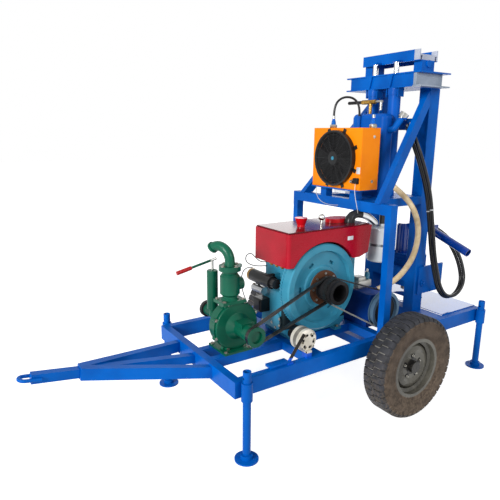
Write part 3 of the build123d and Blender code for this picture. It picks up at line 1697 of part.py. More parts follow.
# Rear deck round the drilling axis
with BuildPart() as rear_deck:
    deck_front = x_mast - column_depth - deck_gap
    slab((x_rear, deck_front), (-rail_inner, rail_inner), (rail_top, rail_top + deck_thick))
    post(x_head, 0, rail_top, deck_hole_r, deck_thick, Mode.SUBTRACT)
save(rear_deck, "rear_deck")

# Hoses: straight runs joined by the largest even bends
hose_table = [
    # name, route, radius
    ("head_hose_inner", head_hose_routes[0], head_hose_r),
    ("head_hose_outer", head_hose_routes[1], head_hose_r),
    ("suction_hose", suction_route, suction_hose_r),
    ("cooler_hose", cooler_route, cooler_hose_r),
]
for name, corners, radius in hose_table:
    radii = bend_radii(corners)
    with BuildPart() as hose:
        with BuildLine():
            centre_line = FilletPolyline(*corners, radius=radii)
        with BuildSketch(Plane(origin=corners[0], z_dir=corners[1] - corners[0])):
            Circle(radius)
        sweep()
    runs = [(end - start).length for start, end in zip(corners, corners[1:])]
    print(name, "length", round(centre_line.length), "bends", [round(r) for r in radii])
    print("runs", [round(run) for run in runs], "volume", round(hose.part.volume), "of section times length")
    print(round(math.pi * radius**2 * centre_line.length))
    save(hose, name)
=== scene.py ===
import json
import math

import bpy
from mathutils import Matrix, Vector


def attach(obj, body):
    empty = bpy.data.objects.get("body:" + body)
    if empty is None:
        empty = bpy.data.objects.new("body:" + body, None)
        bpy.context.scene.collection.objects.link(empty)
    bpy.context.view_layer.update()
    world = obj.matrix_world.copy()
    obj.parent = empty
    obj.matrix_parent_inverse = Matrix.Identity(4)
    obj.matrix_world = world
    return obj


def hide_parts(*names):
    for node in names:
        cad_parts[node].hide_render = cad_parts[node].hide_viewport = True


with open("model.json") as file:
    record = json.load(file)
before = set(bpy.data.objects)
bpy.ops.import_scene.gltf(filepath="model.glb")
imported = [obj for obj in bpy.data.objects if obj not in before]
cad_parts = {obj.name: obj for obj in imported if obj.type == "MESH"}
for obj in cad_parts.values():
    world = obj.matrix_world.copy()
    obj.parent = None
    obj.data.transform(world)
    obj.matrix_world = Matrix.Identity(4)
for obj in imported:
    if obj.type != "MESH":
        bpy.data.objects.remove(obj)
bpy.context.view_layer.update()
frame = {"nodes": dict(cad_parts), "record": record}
nodes = frame["nodes"]
print("frame loaded")

frontFace = 0.656  # x of the trailer frame's front face, in metres
wheelOut = 0.68  # from the middle of the trailer to the middle of each tyre

# axle lines along y, each as its x and z
crankLine = (-0.144, 0.845)
pumpLine = (0.421, 0.645)
hydraulicLine = (-0.619, 0.628)
wheelLine = (-0.57611, 0.343)

left, up, front = (0, 1, 0), (0, 0, 1), (1, 0, 0)


# shader helpers

def toLinear(hexColour):
    # sRGB hex to linear RGBA
    values = [int(hexColour[i:i + 2], 16) / 255 for i in (0, 2, 4)]
    linear = [v / 12.92 if v <= 0.04045 else ((v + 0.055) / 1.055) ** 2.4 for v in values]
    return (*linear, 1.0)


def perMetre(millimetres):
    # texture scale whose grain is this wide
    return 1000 / millimetres


def addNode(tree, kind, sockets=None, **settings):
    # one shader node with its settings; each socket takes another node's output or a value
    node = tree.nodes.new(kind)
    for key, value in settings.items():
        setattr(node, key, value)
    for key, source in (sockets or {}).items():
        if isinstance(source, bpy.types.NodeSocket):
            tree.links.new(source, node.inputs[key])
        else:
            node.inputs[key].default_value = source
    return node


def emptyTree(owner):
    # the node tree of a material or world, with nothing in it
    owner.use_nodes = True
    owner.node_tree.nodes.clear()
    return owner.node_tree


def measure(tree, place, axis):
    # one coordinate, or the distance from an axle line along y
    if isinstance(axis, str):
        return addNode(tree, "ShaderNodeSeparateXYZ", {"Vector": place}).outputs[axis]
    flat = addNode(tree, "ShaderNodeVectorMath", {0: place, 1: (1, 0, 1)}, operation="MULTIPLY").outputs[0]
    centre = (axis[0], 0, axis[1])
    return addNode(tree, "ShaderNodeVectorMath", {0: flat, 1: centre}, operation="DISTANCE").outputs["Value"]


plainLook = {
    "cloudMm": 220,  # width of the slow drift between colour and shade
    "grainMm": 4,  # width of the fine grain that roughens and dimples the surface
    "bump": 0.2, "grainHigh": 0.0005,
    "rough": 0.35, "roughSpread": 0.12, "metallic": 0.0,
    "coat": 0.0, "coatRough": 0.08, "specular": 0.18,
    "dust": 0.0, "dustColour": "8A8478", "dustTop": 0.55, "gritMm": 18,
    "ribs": None,  # coordinate, pitch in mm and strength
    "ribHigh": 0.002,
    "zones": (),
}
# the part of each noise's range that is stretched to the full one
noiseLimits = {"cloud": (0.38, 0.62), "grain": (0.3, 0.7), "grit": (0.4, 0.7)}


def zone(where, colour, shade, rough, metallic=0.0):
    # another finish on the same piece, where all these limits hold
    return {"where": where, "colour": colour, "shade": shade, "rough": rough, "metallic": metallic}


def mixed(tree, share, first, second):
    # the first colour where the share is 0, the second where it is 1
    return addNode(tree, "ShaderNodeMix", {"Factor": share, "A": first, "B": second},
                   data_type="RGBA").outputs["Result"]


def product(tree, first, second):
    return addNode(tree, "ShaderNodeMath", {0: first, 1: second}, operation="MULTIPLY").outputs[0]


def stretched(tree, value, limits, low=0.0, high=1.0):
    return addNode(tree, "ShaderNodeMapRange", {
        "Value": value, "From Min": limits[0], "From Max": limits[1],
        "To Min": low, "To Max": high}).outputs[0]


def noise(tree, place, widthMm, detail):
    return addNode(tree, "ShaderNodeTexNoise", {
        "Vector": place, "Scale": perMetre(widthMm), "Detail": detail}).outputs["Fac"]


def surface(name, look):
    look = {**plainLook, **look}
    material = bpy.data.materials.new(name)
    tree = emptyTree(material)
    place = addNode(tree, "ShaderNodeTexCoord").outputs["Object"]

    # colour that drifts slowly, and a fine grain that varies the roughness
    cloud = stretched(tree, noise(tree, place, look["cloudMm"], 3.0), noiseLimits["cloud"])
    grain = noise(tree, place, look["grainMm"], 4.0)
    colour = mixed(tree, cloud, toLinear(look["shade"]), toLinear(look["colour"]))
    roughest = look["rough"] + look["roughSpread"]
    rough = stretched(tree, grain, noiseLimits["grain"], look["rough"], roughest)
    metallic = look["metallic"]

    for area in look["zones"]:
        mask = 1.0
        for axis, side, limit in area["where"]:
            test = addNode(tree, "ShaderNodeMath", {0: measure(tree, place, axis), 1: limit},
                           operation="GREATER_THAN" if side == ">" else "LESS_THAN").outputs[0]
            mask = product(tree, mask, test)
        areaColour = mixed(tree, cloud, toLinear(area["shade"]), toLinear(area["colour"]))
        colour = mixed(tree, mask, colour, areaColour)
        rough = addNode(tree, "ShaderNodeMix", {"Factor": mask, "A": rough, "B": area["rough"]},
                        data_type="FLOAT").outputs["Result"]
        metallic = addNode(tree, "ShaderNodeMix", {"Factor": mask, "A": metallic, "B": area["metallic"]},
                           data_type="FLOAT").outputs["Result"]

    # dust that thickens towards the ground
    if look["dust"]:
        low = stretched(tree, measure(tree, place, "Z"), (look["dustTop"], 0.0))
        grit = noise(tree, place, look["gritMm"], 6.0)
        grit = stretched(tree, grit, noiseLimits["grit"], 0.0, look["dust"])
        colour = mixed(tree, product(tree, low, grit), colour, toLinear(look["dustColour"]))

    # dimples from the grain, and moulded rings, fins or cogs along one coordinate
    bump = addNode(tree, "ShaderNodeBump", {
        "Strength": look["bump"], "Distance": look["grainHigh"], "Height": grain}).outputs["Normal"]
    if look["ribs"]:
        axis, pitchMm, strength = look["ribs"]
        turn = product(tree, measure(tree, place, axis), 2 * math.pi * perMetre(pitchMm))
        wave = addNode(tree, "ShaderNodeMath", {0: turn}, operation="SINE").outputs[0]
        bump = addNode(tree, "ShaderNodeBump", {
            "Strength": strength, "Distance": look["ribHigh"], "Height": wave,
            "Normal": bump}).outputs["Normal"]

    shader = addNode(tree, "ShaderNodeBsdfPrincipled", {
        "Base Color": colour, "Roughness": rough, "Metallic": metallic, "Normal": bump,
        "Coat Weight": look["coat"], "Coat Roughness": look["coatRough"],
        "Specular IOR Level": look["specular"]})
    addNode(tree, "ShaderNodeOutputMaterial", {"Surface": shader.outputs[0]})
    return material


# finishes

bluePaint = {"colour": "005CB6", "shade": "0050A4", "rough": 0.32, "grainMm": 3, "bump": 0.1, "coat": 0.02,
             "specular": 0.08}
greenPaint = {"colour": "04563F", "shade": "034836", "rough": 0.28, "grainMm": 6, "bump": 0.4, "coat": 0.06}
tealPaint = {"colour": "3A8AA4", "shade": "2E7C98", "rough": 0.3, "grainMm": 6, "bump": 0.3, "coat": 0.15}
# pale dust and painted highlight on the tread between the lugs and along their feet
grooveDustAndHighlight = ("84827E", "62605C", 0.8)
treadGroove = [(wheelLine, ">", 0.3315), (wheelLine, "<", 0.3362)]

looks = {
    # enamel sprayed over welded steel: an even blue with a faint orange peel
    "blueEnamel": bluePaint,
    # the same enamel on the tank and the lift barrels, a little deeper
    "tankEnamel": {**bluePaint, "colour": "0A5AB8", "shade": "064EA6"},
    # the same enamel, with a pale painted highlight on the end of the head beam's web
    "beamEnamel": {**bluePaint, "zones": [
        zone([("Y", ">", 0.282), ("Z", ">", 2.088), ("Z", "<", 2.224)], "A0AAB8", "7C8898", 0.4, 0.2)]},
    # the same enamel, with a pale painted highlight on the inner end of the crown
    "crownEnamel": {**bluePaint, "zones": [
        zone([("Y", ">", 0.215), ("X", "<", -0.96), ("Z", ">", 2.318)], "B4BAC8", "9098A8", 0.4)]},
    # deck plate under a wet clear gloss that mirrors the sky
    "deckEnamel": {**bluePaint, "rough": 0.05, "roughSpread": 0.08, "coat": 1.0, "bump": 0.05},
    # dark glossy blue of the head's motor and its pipe
    "deepBlueEnamel": {**bluePaint, "colour": "063C9A", "shade": "04307E", "rough": 0.12, "coat": 0.8},
    # green over rough cast iron, with the black mouth of the suction pipe
    "greenEnamel": {**greenPaint, "zones": [
        zone([("Y", "<", -0.222)], "2A2A2A", "1C1C1C", 0.6)]},
    # green enamel over rough cast iron, glossy on the high grain
    "pumpEnamel": greenPaint,
    # green priming pump with a red lever and a plated rod
    "primerEnamel": {**greenPaint, "zones": [
        zone([("X", ">", 0.611)], "B81C20", "A01418", 0.4),
        zone([("Z", ">", 0.959), ("X", "<", 0.475)], "C8C8C4", "A8A8A4", 0.3, 0.9)]},
    # teal over cast iron, with near-black painted shade in the gap beside the flywheel
    "crankcaseTeal": {**tealPaint, "zones": [
        zone([("Y", ">", 0.17), ("Z", ">", 0.56)], "12282E", "0A1A1E", 0.6)]},
    # teal enamel over cast iron
    "tealEnamel": tealPaint,
    # red enamel on pressed sheet, with a darker, shinier lid
    "redEnamel": {
        "colour": "A4001E", "shade": "940018", "rough": 0.22, "bump": 0.06, "coat": 0.06, "zones": [
            zone([("Z", ">", 1.2225)], "5E0A18", "4A0812", 0.16)]},
    # bright red caps and, between them, a chromed gauge stem
    "fittingMix": {"colour": "C80A18", "shade": "B00614", "rough": 0.25, "coat": 0.5, "zones": [
        zone([("X", "<", -0.17), ("X", ">", -0.24)], "D4D4D0", "B4B4B0", 0.15, 1.0)]},
    # black starter with a bright lower side, teal foot, brass end and dark nose
    "starterMix": {"colour": "1C1D1F", "shade": "101113", "rough": 0.35, "coat": 0.2, "zones": [
        zone([("Z", "<", 0.835)], "C4C6C8", "A0A2A4", 0.3, 0.9),
        zone([("X", "<", 0.112)], "3A93A8", "2A7F98", 0.35),
        zone([("Y", "<", -0.07)], "B08A48", "8A6A34", 0.3, 0.9),
        zone([("Y", ">", 0.151)], "202022", "121214", 0.3)]},
    # turned cast iron, brown with rust on its flange, where the bolts are plated
    "drumIron": {
        "colour": "232325", "shade": "151517", "rough": 0.45, "metallic": 0.5, "bump": 0.5, "grainMm": 5,
        "zones": [
            zone([("Y", "<", 0.3145)], "5A3A28", "3C2A20", 0.6, 0.3),
            zone([("Y", "<", 0.3225), ("Y", ">", 0.3145), (crankLine, ">", 0.085)],
                 "8A8A88", "6A6A68", 0.35, 0.9)]},
    # orange enamel outside, with dark painted shade inside the case
    "orangeEnamel": {
        "colour": "F08600", "shade": "E87C00", "rough": 0.35, "coat": 0.02, "bump": 0.08, "zones": [
            zone([("X", "<", -0.4872), ("Y", ">", -0.2395), ("Y", "<", 0.2395), ("Z", ">", 1.4495),
                  ("Z", "<", 1.8585)], "1A1614", "100E0C", 0.6)]},
    # black enamel, half glossy
    "blackEnamel": {"colour": "1C1D1F", "shade": "101113", "rough": 0.35, "coat": 0.2},
    # silver lacquer on the air cleaner, with a plated band and a black cap
    "silverPaint": {"colour": "D2D6D8", "shade": "B8BEC2", "rough": 0.3, "coat": 0.4, "zones": [
        zone([("Z", ">", 1.2)], "1E1E20", "141416", 0.4),
        zone([("Z", ">", 1.046), ("Z", "<", 1.064)], "8A9094", "6C7276", 0.3, 0.8)]},
    # grey-brown lacquer on pressed steel, dusty, with a black hub cap
    "rimPaint": {
        "colour": "5C5A52", "shade": "44423C", "rough": 0.3, "coat": 0.3, "dust": 0.3,
        "grainMm": 6, "bump": 0.3,
        "zones": [zone([(wheelLine, "<", 0.056)], "1A1A1A", "101010", 0.5)]},
    # zinc-plated steel: dull silver with yellow-grey clouds
    "zincPlate": {"colour": "B8B6AE", "shade": "86837A", "rough": 0.3, "metallic": 1.0, "cloudMm": 30},
    # hard chrome on ground rods, close to a mirror
    "hardChrome": {"colour": "D8DADC", "shade": "C0C2C6", "rough": 0.06, "roughSpread": 0.04,
                   "metallic": 1.0, "bump": 0.03},
    # chromed duct whose wide end is black rubber
    "ductChrome": {
        "colour": "D0D2D4", "shade": "A8AAAE", "rough": 0.1, "metallic": 1.0, "bump": 0.03, "zones": [
            zone([("X", ">", -0.545)], "2E2F31", "1E1F21", 0.25)]},
    # sand-cast aluminium, matt and grainy
    "castAluminium": {"colour": "C4C4BE", "shade": "A4A49E", "rough": 0.4, "metallic": 0.7, "grainMm": 4,
                      "bump": 0.4},
    # glossy blue-green bowl under a bright metal cap
    "glassTeal": {"colour": "2E7C9C", "shade": "20647E", "rough": 0.12, "coat": 0.6, "zones": [
        zone([("Z", ">", 0.845)], "C8C8C4", "A0A09C", 0.25, 1.0)]},
    # off-white insulation of thin wire
    "paleWire": {"colour": "D8D4C8", "shade": "BEBAAE", "rough": 0.5},
    # plated unions of the cooler, grey below and sleeved in blue
    "fittingSteel": {
        "colour": "C0C0BA", "shade": "94948E", "rough": 0.25, "metallic": 1.0, "cloudMm": 20, "zones": [
            zone([("Z", "<", 1.884)], "6E7276", "54585C", 0.4),
            zone([("Z", ">", 1.888), ("Z", "<", 1.925)], "1C50B8", "143F98", 0.3)]},
    # brass valve with a black grip and a plated far end
    "valveBrass": {
        "colour": "B89048", "shade": "8A6A34", "rough": 0.25, "metallic": 1.0, "cloudMm": 20, "zones": [
            zone([("Y", "<", -0.111)], "161618", "0E0E10", 0.35),
            zone([("Y", ">", 0.021)], "B8B8B4", "90908C", 0.25, 1.0)]},
    # blue filler neck under a plated cap
    "neckMix": {**bluePaint, "zones": [
        zone([("Z", ">", 1.93)], "C8C8C4", "9C9C98", 0.25, 1.0)]},
    # cast alternator: pale shell, dark painted shade in the gap beside the stand, black pulley, grey waist
    # and blue foot
    "alternatorMix": {
        "colour": "DDD8CC", "shade": "C4BEB0", "rough": 0.35, "metallic": 0.35, "grainMm": 5, "bump": 0.4,
        "cloudMm": 60, "zones": [
            zone([("Y", ">", 0.4632), ("X", ">", 0.125)], "2A2624", "181614", 0.5),
            zone([("Y", "<", 0.36)], "1E1E20", "121214", 0.4),
            zone([("Y", ">", 0.4), ("Y", "<", 0.43)], "8E8A80", "74706A", 0.45, 0.4),
            zone([("Z", "<", 0.512)], "0A5AD0", "0850BE", 0.3)]},
    # dark blue enamel of the oil pump
    "hydraulicMix": {**bluePaint, "colour": "0C3C8C", "shade": "082C6C"},
    # grey-blue pulley with a black middle
    "hydPulleyMix": {
        "colour": "5A7890", "shade": "48647C", "rough": 0.4, "metallic": 0.3, "bump": 0.4, "zones": [
            zone([(hydraulicLine, "<", 0.1)], "1E2226", "141618", 0.5)]},
    # worn tyre: brown side wall with moulded rings, grey-black lugs, pale dust and painted highlight in the
    # grooves between them
    "tyreRubber": {
        "colour": "564A40", "shade": "423830", "rough": 0.7, "cloudMm": 60, "bump": 0.4,
        "dust": 0.5, "dustColour": "8A7A68", "ribs": (wheelLine, 14, 0.35), "zones": [
            zone([(wheelLine, ">", 0.318)], "34353A", "26272A", 0.6),
            zone(treadGroove + [("Y", ">", 0.632), ("Y", "<", 0.728)], *grooveDustAndHighlight),
            zone(treadGroove + [("Y", "<", -0.632), ("Y", ">", -0.728)], *grooveDustAndHighlight)]},
    # smooth black rubber cover of a pressure hose
    "hoseRubber": {"colour": "17181A", "shade": "0E0E10", "rough": 0.3, "coat": 0.3},
    # black rubber belt, polished by its pulleys; the cogs are drawn coarser than real ones
    "beltRubber": {"colour": "1C1C1C", "shade": "101010", "rough": 0.3, "coat": 0.5, "ribs": ("X", 9, 0.5)},
    # black lacquer that shines on thin wire
    "guardWire": {"colour": "1E1F22", "shade": "141416", "rough": 0.25, "coat": 0.1, "specular": 0.4},
    # close fins under thin black lacquer, matt
    "finBlack": {"colour": "1C1C1E", "shade": "121214", "rough": 0.5, "ribs": ("Y", 5, 0.6)},
    # black belt with a pale painted highlight on the worn cogs of the lower run
    "rearBelt": {
        "colour": "1C1C1C", "shade": "101010", "rough": 0.4, "coat": 0.2, "ribs": ("X", 14, 0.8), "zones": [
            zone([("Z", "<", 0.765), ("X", ">", -0.62)], "9A9A94", "6E6E68", 0.4)]},
    # black moulded plastic, slightly matt
    "mouldedPlastic": {"colour": "141416", "shade": "0C0C0E", "rough": 0.4},
    # cream hose with moulded rings
    "ribbedPlastic": {"colour": "DCC8A4", "shade": "C8B088", "rough": 0.35, "cloudMm": 40,
                      "ribs": ("Z", 7, 0.5)},
    # turned brass, cloudy where it is handled
    "brassBar": {"colour": "B89048", "shade": "8A6A34", "rough": 0.3, "metallic": 1.0, "cloudMm": 15},
    # blank printed plate, off-white with a satin face
    "blankLabel": {"colour": "D6D8DA", "shade": "C2C5C8", "rough": 0.35, "metallic": 0.4, "bump": 0.05},
}
paints = {name: surface(name, look) for name, look in looks.items()}
print("finishes done")

slotPaints = {
    "frame_paint": "blueEnamel", "leg_paint": "blueEnamel", "barrel_paint": "tankEnamel",
    "gearbox_paint": "blueEnamel", "rod_chrome": "hardChrome", "engine_paint": "tealEnamel",
    "hopper_paint": "redEnamel", "fitting_paint": "blackEnamel", "pipe_steel": "zincPlate",
    "canister_paint": "silverPaint", "drum_iron": "drumIron", "belt_rubber": "beltRubber",
    "pump_paint": "pumpEnamel", "gear_iron": "blackEnamel", "spindle_steel": "zincPlate",
    "cooler_paint": "orangeEnamel", "core_aluminium": "finBlack", "fan_plastic": "mouldedPlastic",
    "tank_paint": "tankEnamel", "hose_rubber": "hoseRubber", "hose_plastic": "ribbedPlastic",
    "tyre_rubber": "tyreRubber", "rim_paint": "rimPaint",
}
nodePaints = {
    "swivel_pipe": "deepBlueEnamel", "fan_shroud": "blackEnamel", "alternator": "alternatorMix",
    "hopper_fittings": "fittingMix", "starter_motor": "starterMix", "suction_pipe": "greenEnamel",
    "priming_pump": "primerEnamel", "head_motor": "deepBlueEnamel", "rear_deck": "deckEnamel",
    "engine_crankcase": "crankcaseTeal", "mast_head_beam": "beamEnamel", "crown_beam": "crownEnamel",
    "hydraulic_belt": "rearBelt", "cooler_fittings": "fittingSteel", "shutoff_valve": "valveBrass",
    "filler_neck": "neckMix", "hydraulic_pump": "hydraulicMix", "hydraulic_pulley": "hydPulleyMix",
    "mud_pump_pulley": "pumpEnamel",
}
for part in frame["record"]["subparts"]:
    paint = nodePaints.get(part["node"], slotPaints[part["material_slot"]])
    mesh = nodes[part["node"]].data
    mesh.materials.clear()
    mesh.materials.append(paints[paint])
print("carried-over nodes painted")


# hoses and wires

def newCurve(name, route, radius=0.0):
    # a smooth round line that these points control
    curve = bpy.data.curves.new(name, "CURVE")
    curve.dimensions = "3D"
    curve.bevel_depth = radius
    curve.bevel_resolution = 6
    curve.resolution_u = 16
    curve.use_fill_caps = True
    line = curve.splines.new("NURBS")
    line.points.add(len(route) - 1)
    for point, corner in zip(line.points, route):
        point.co = (*corner, 1)
    line.order_u = 3
    line.use_endpoint_u = True
    item = bpy.data.objects.new(name, curve)
    bpy.context.collection.objects.link(item)
    return item


def splineLength(route):
    item = newCurve("measure", route)
    mesh = bpy.data.meshes.new_from_object(item.evaluated_get(bpy.context.evaluated_depsgraph_get()))
    ends = [[mesh.vertices[index].co for index in edge.vertices] for edge in mesh.edges]
    bpy.data.objects.remove(item)
    return sum((first - last).length for first, last in ends)


def makeCord(name, route, radius, paint):
    item = newCurve(name, route, radius)
    item.data.materials.append(paints[paint])
    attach(item, "chassis")
    splineLength(route)
    return item


# corners are those of the solids: back from the frame's front, left and up, in millimetres
headHoseCorners = [
    (1746, 100, 1885), (1656, 165, 1870), (1613, 250, 1790), (1651, 300, 1640), (1756, 315, 1400),
    (1816, 315, 1150), (1863, 320, 920), (1916, 326, 760), (1959, 332, 645), (2043, 340, 561),
    (2166, 345, 560), (2257, 338, 652), (2263, 300, 790), (2251, 235, 915), (2216, 165, 1010),
    (2171, 100, 1058),
]
hoses = {
    "headHoseInner": {
        "node": "head_hose_inner", "radius": 0.013, "paint": "hoseRubber", "slot": "hose_rubber",
        "stiffness": "stiff", "shift": (0, 0, 0), "corners": headHoseCorners,
    },
    "suctionHose": {
        "node": "suction_hose", "radius": 0.020, "paint": "ribbedPlastic", "slot": "hose_plastic",
        "stiffness": "stiff", "shift": (0, 0, 0),
        "corners": [(1491, 185, 1480), (1515.4, 285, 1415), (1565.9, 360, 1315), (1630.3, 370, 1160),
                    (1620.7, 360, 980), (1540.1, 340, 850), (1450.6, 300, 760), (1368, 253, 722)],
    },
    "coolerHose": {
        "node": "cooler_hose", "radius": 0.008, "paint": "hoseRubber", "slot": "hose_rubber",
        "stiffness": "medium", "shift": (0, 0, 0),
        "corners": [(1250.7, -160, 1945), (1250.7, -160, 2022), (1297.6, -132.7, 2077),
                    (1365.6, -93.3, 2077), (1412.5, -66, 2022), (1412.5, -66, 1945)],
    },
    "headHoseOuter": {
        "node": "head_hose_outer", "radius": 0.013, "paint": "hoseRubber", "slot": "hose_rubber",
        "stiffness": "stiff", "shift": (0, 29, 14), "corners": headHoseCorners,
    },
}
for name, hose in hoses.items():
    shiftBack, shiftLeft, shiftUp = hose["shift"]
    route = [Vector((frontFace - (back + shiftBack) / 1000, (y + shiftLeft) / 1000, (z + shiftUp) / 1000))
             for back, y, z in hose["corners"]]
    item = makeCord(name, route, hose["radius"], hose["paint"])
    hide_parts(hose["node"])
print("hoses done")

# corners of the thin wires in metres, each wire ending on what it serves
wires = {
    "gaugeWire": {
        "radius": 0.0030, "paint": "hoseRubber",
        "corners": [(0.070, -0.030, 0.975), (0.112, -0.034, 0.972), (0.145, -0.055, 1.000),
                    (0.170, -0.080, 1.040), (0.200, -0.100, 1.020), (0.200, -0.100, 0.975),
                    (0.160, -0.080, 0.948), (0.112, -0.045, 0.945), (0.070, -0.035, 0.945)],
    },
    "starterWire": {
        "radius": 0.0030, "paint": "hoseRubber",
        "corners": [(0.1236, -0.0880, 0.9118), (0.140, -0.125, 0.930), (0.185, -0.165, 0.900),
                    (0.200, -0.160, 0.800), (0.190, -0.120, 0.700), (0.165, -0.060, 0.630),
                    (0.142, -0.020, 0.625), (0.140, -0.010, 0.651)],
    },
    "coolerWire": {
        "radius": 0.0018, "paint": "paleWire",
        "corners": [(-0.472, 0.212, 1.495), (-0.466, 0.214, 1.466), (-0.458, 0.225, 1.430),
                    (-0.462, 0.235, 1.380), (-0.480, 0.240, 1.310), (-0.500, 0.225, 1.285),
                    (-0.519, 0.211, 1.2915)],
    },
    "beamWire": {
        "radius": 0.0018, "paint": "paleWire",
        "corners": [(-0.466, -0.170, 1.449), (-0.458, -0.172, 1.400), (-0.458, -0.130, 1.345),
                    (-0.470, -0.060, 1.322), (-0.500, -0.010, 1.320), (-0.515, 0.010, 1.322)],
    },
}
for name, wire in wires.items():
    route = [Vector(corner) for corner in wire["corners"]]
    makeCord(name, route, wire["radius"], wire["paint"])
print("wires done")


# modelling helpers

def pickOnly(items):
    bpy.ops.object.select_all(action="DESELECT")
    for item in items:
        item.select_set(True)
    bpy.context.view_layer.objects.active = items[0]


def settle(item):
    # moves the object's origin to the world's, unturned and unscaled
    pickOnly([item])
    bpy.ops.object.transform_apply(location=True, rotation=True, scale=True)


def joined(name, items):
    pickOnly(items)
    if len(items) > 1:
        bpy.ops.object.join()
    item = bpy.context.object
    item.name = name
    settle(item)
    return item


def finishPiece(item, paint, body="chassis"):
    item.data.materials.clear()
    item.data.materials.append(paints[paint])
    pickOnly([item])
    bpy.ops.object.shade_smooth_by_angle(angle=math.radians(35))
    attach(item, body)
    print(item.name, "done")


def turnTo(item, place, facing):
    # stands the item at a place, its z axis turned to the way it faces
    turn = Vector(facing).to_track_quat("Z", "Y").to_matrix().to_4x4()
    item.matrix_world = Matrix.Translation(place) @ turn


def copyOf(source):
    # a copy with its own mesh
    item = source.copy()
    item.data = source.data.copy()
    bpy.context.collection.objects.link(item)
    return item


def spread(name, master, places, paint, body="chassis"):
    # copies one shape to every place and joins the copies into one piece
    copies = [copyOf(master) for spot in places]
    for item, (place, facing) in zip(copies, places):
        turnTo(item, place, facing)
    bpy.data.objects.remove(master)
    finishPiece(joined(name, copies), paint, body)


def applyBevel(item, width, segments):
    bpy.ops.object.modifier_add(type="BEVEL")
    item.modifiers[-1].width = width
    item.modifiers[-1].segments = segments
    bpy.ops.object.modifier_apply(modifier=item.modifiers[-1].name)


def turnedDisc(steps, segments):
    # a disc extruded up and scaled step by step; each step is a radius and a height
    bpy.ops.object.select_all(action="DESELECT")
    bpy.ops.mesh.primitive_circle_add(vertices=segments, radius=steps[0][0], fill_type="NGON",
                                      location=(0, 0, 0))
    item = bpy.context.object
    bpy.ops.object.mode_set(mode="EDIT")
    bpy.ops.mesh.select_all(action="SELECT")
    for (radius, height), (nextRadius, nextHeight) in zip(steps, steps[1:]):
        bpy.ops.mesh.extrude_region_move(TRANSFORM_OT_translate={"value": (0, 0, nextHeight - height)})
        if nextRadius != radius:
            share = nextRadius / radius
            bpy.ops.transform.resize(value=(share, share, 1), center_override=(0, 0, nextHeight))
    bpy.ops.mesh.select_all(action="SELECT")
    bpy.ops.mesh.normals_make_consistent(inside=False)
    bpy.ops.object.mode_set(mode="OBJECT")
    return item


def bevelledPlate(size, middle, bevel, segments=2):
    # a block with all its edges rounded
    bpy.ops.object.select_all(action="DESELECT")
    bpy.ops.mesh.primitive_cube_add(size=1, location=middle)
    item = bpy.context.object
    item.scale = size
    settle(item)
    applyBevel(item, bevel, segments)
    return item


def hexBolt(radius, height):
    # hexagon head on a washer, with the bolt's end standing out
    washerWide, washerHigh = radius * 1.5, height * 0.2
    stubWide, stubLow = radius * 0.5, height * 0.9
    washer = turnedDisc([(washerWide, 0), (washerWide, washerHigh), (radius * 1.4, height * 0.26)], 20)
    head = turnedDisc([(radius, washerHigh), (radius, stubLow), (radius * 0.86, height)], 6)
    stub = turnedDisc([(stubWide, stubLow), (stubWide, height * 1.25), (radius * 0.42, height * 1.32)], 12)
    return joined("hexBolt", [head, washer, stub])


def grid(xs, ys, zs, facing):
    # every mix of these values, all facing one way
    return [(Vector((x, y, z)), facing) for x in xs for y in ys for z in zs]


def ring(centre, radius, count, start, facing, across=front):
    # places round a centre, counted from the way across and then up
    places = []
    for step in range(count):
        angle = math.radians(start + 360 * step / count)
        arm = Vector(across) * math.cos(angle) + Vector(up) * math.sin(angle)
        places.append((Vector(centre) + radius * arm, facing))
    return places


# bolts, nuts and plugs, each bolt as the radius and height of its head

bolts = {
    "pumpSplitBolts": {
        "bolt": (0.007, 0.009), "paint": "zincPlate", "slot": "pipe_steel",
        "places": ring((pumpLine[0], 0.137, pumpLine[1]), 0.157, 8, 22.5, left),
    },
    "pumpFlangeBolts": {
        "bolt": (0.009, 0.011), "paint": "zincPlate", "slot": "pipe_steel",
        # four corners of the lower flange, then four turned places on the upper one
        "places": grid((0.380, 0.512), (0.054, 0.146), (0.815,), up) + [
            (Vector((0.446 + 0.054 * x, 0.100 + 0.054 * y, 1.030)), up)
            for x, y in ((1, 0.2), (-0.2, 1), (-1, -0.2), (0.2, -1))],
    },
    "pumpFootBolts": {
        "bolt": (0.009, 0.012), "paint": "zincPlate", "slot": "pipe_steel",
        "places": grid((0.347, 0.515), (-0.008, 0.168), (0.494,), up),
    },
    "engineFootBolts": {
        "bolt": (0.010, 0.014), "paint": "zincPlate", "slot": "engine_paint",
        "places": grid((0.006, -0.364), (-0.076, 0.214), (0.498,), up),
    },
    "engineCoverBolts": {
        "bolt": (0.006, 0.008), "paint": "zincPlate", "slot": "engine_paint",
        "places": ring((0.110, 0.128, 0.610), 0.047, 6, 30, front, across=left)
        + grid((0.096,), (-0.04, 0.18), (0.56, 0.78), front),
    },
    "brassPlugs": {
        "bolt": (0.010, 0.016), "paint": "brassBar", "slot": "engine_paint",
        "places": grid((0.070,), (0.02, 0.08, 0.14), (0.975,), front),
    },
    "alternatorBolts": {
        "bolt": (0.005, 0.006), "paint": "zincPlate", "slot": "gear_iron",
        "places": ring((0.106, 0.463, 0.585), 0.058, 4, 45, left),
    },
    "coolerSideBolts": {
        "bolt": (0.007, 0.007), "paint": "zincPlate", "slot": "cooler_paint",
        "places": grid((-0.597,), (0.241,), (1.505, 1.802), left),
    },
}
wheelFixings = {
    "discOut": 0.7098, "circle": 0.075, "count": 5, "start": 18,
    "seat": {"bolt": (0.0135, 0.003), "paint": "mouldedPlastic", "slot": "rim_paint"},
    "nut": {"bolt": (0.0058, 0.014), "paint": "zincPlate", "slot": "rim_paint"},
}
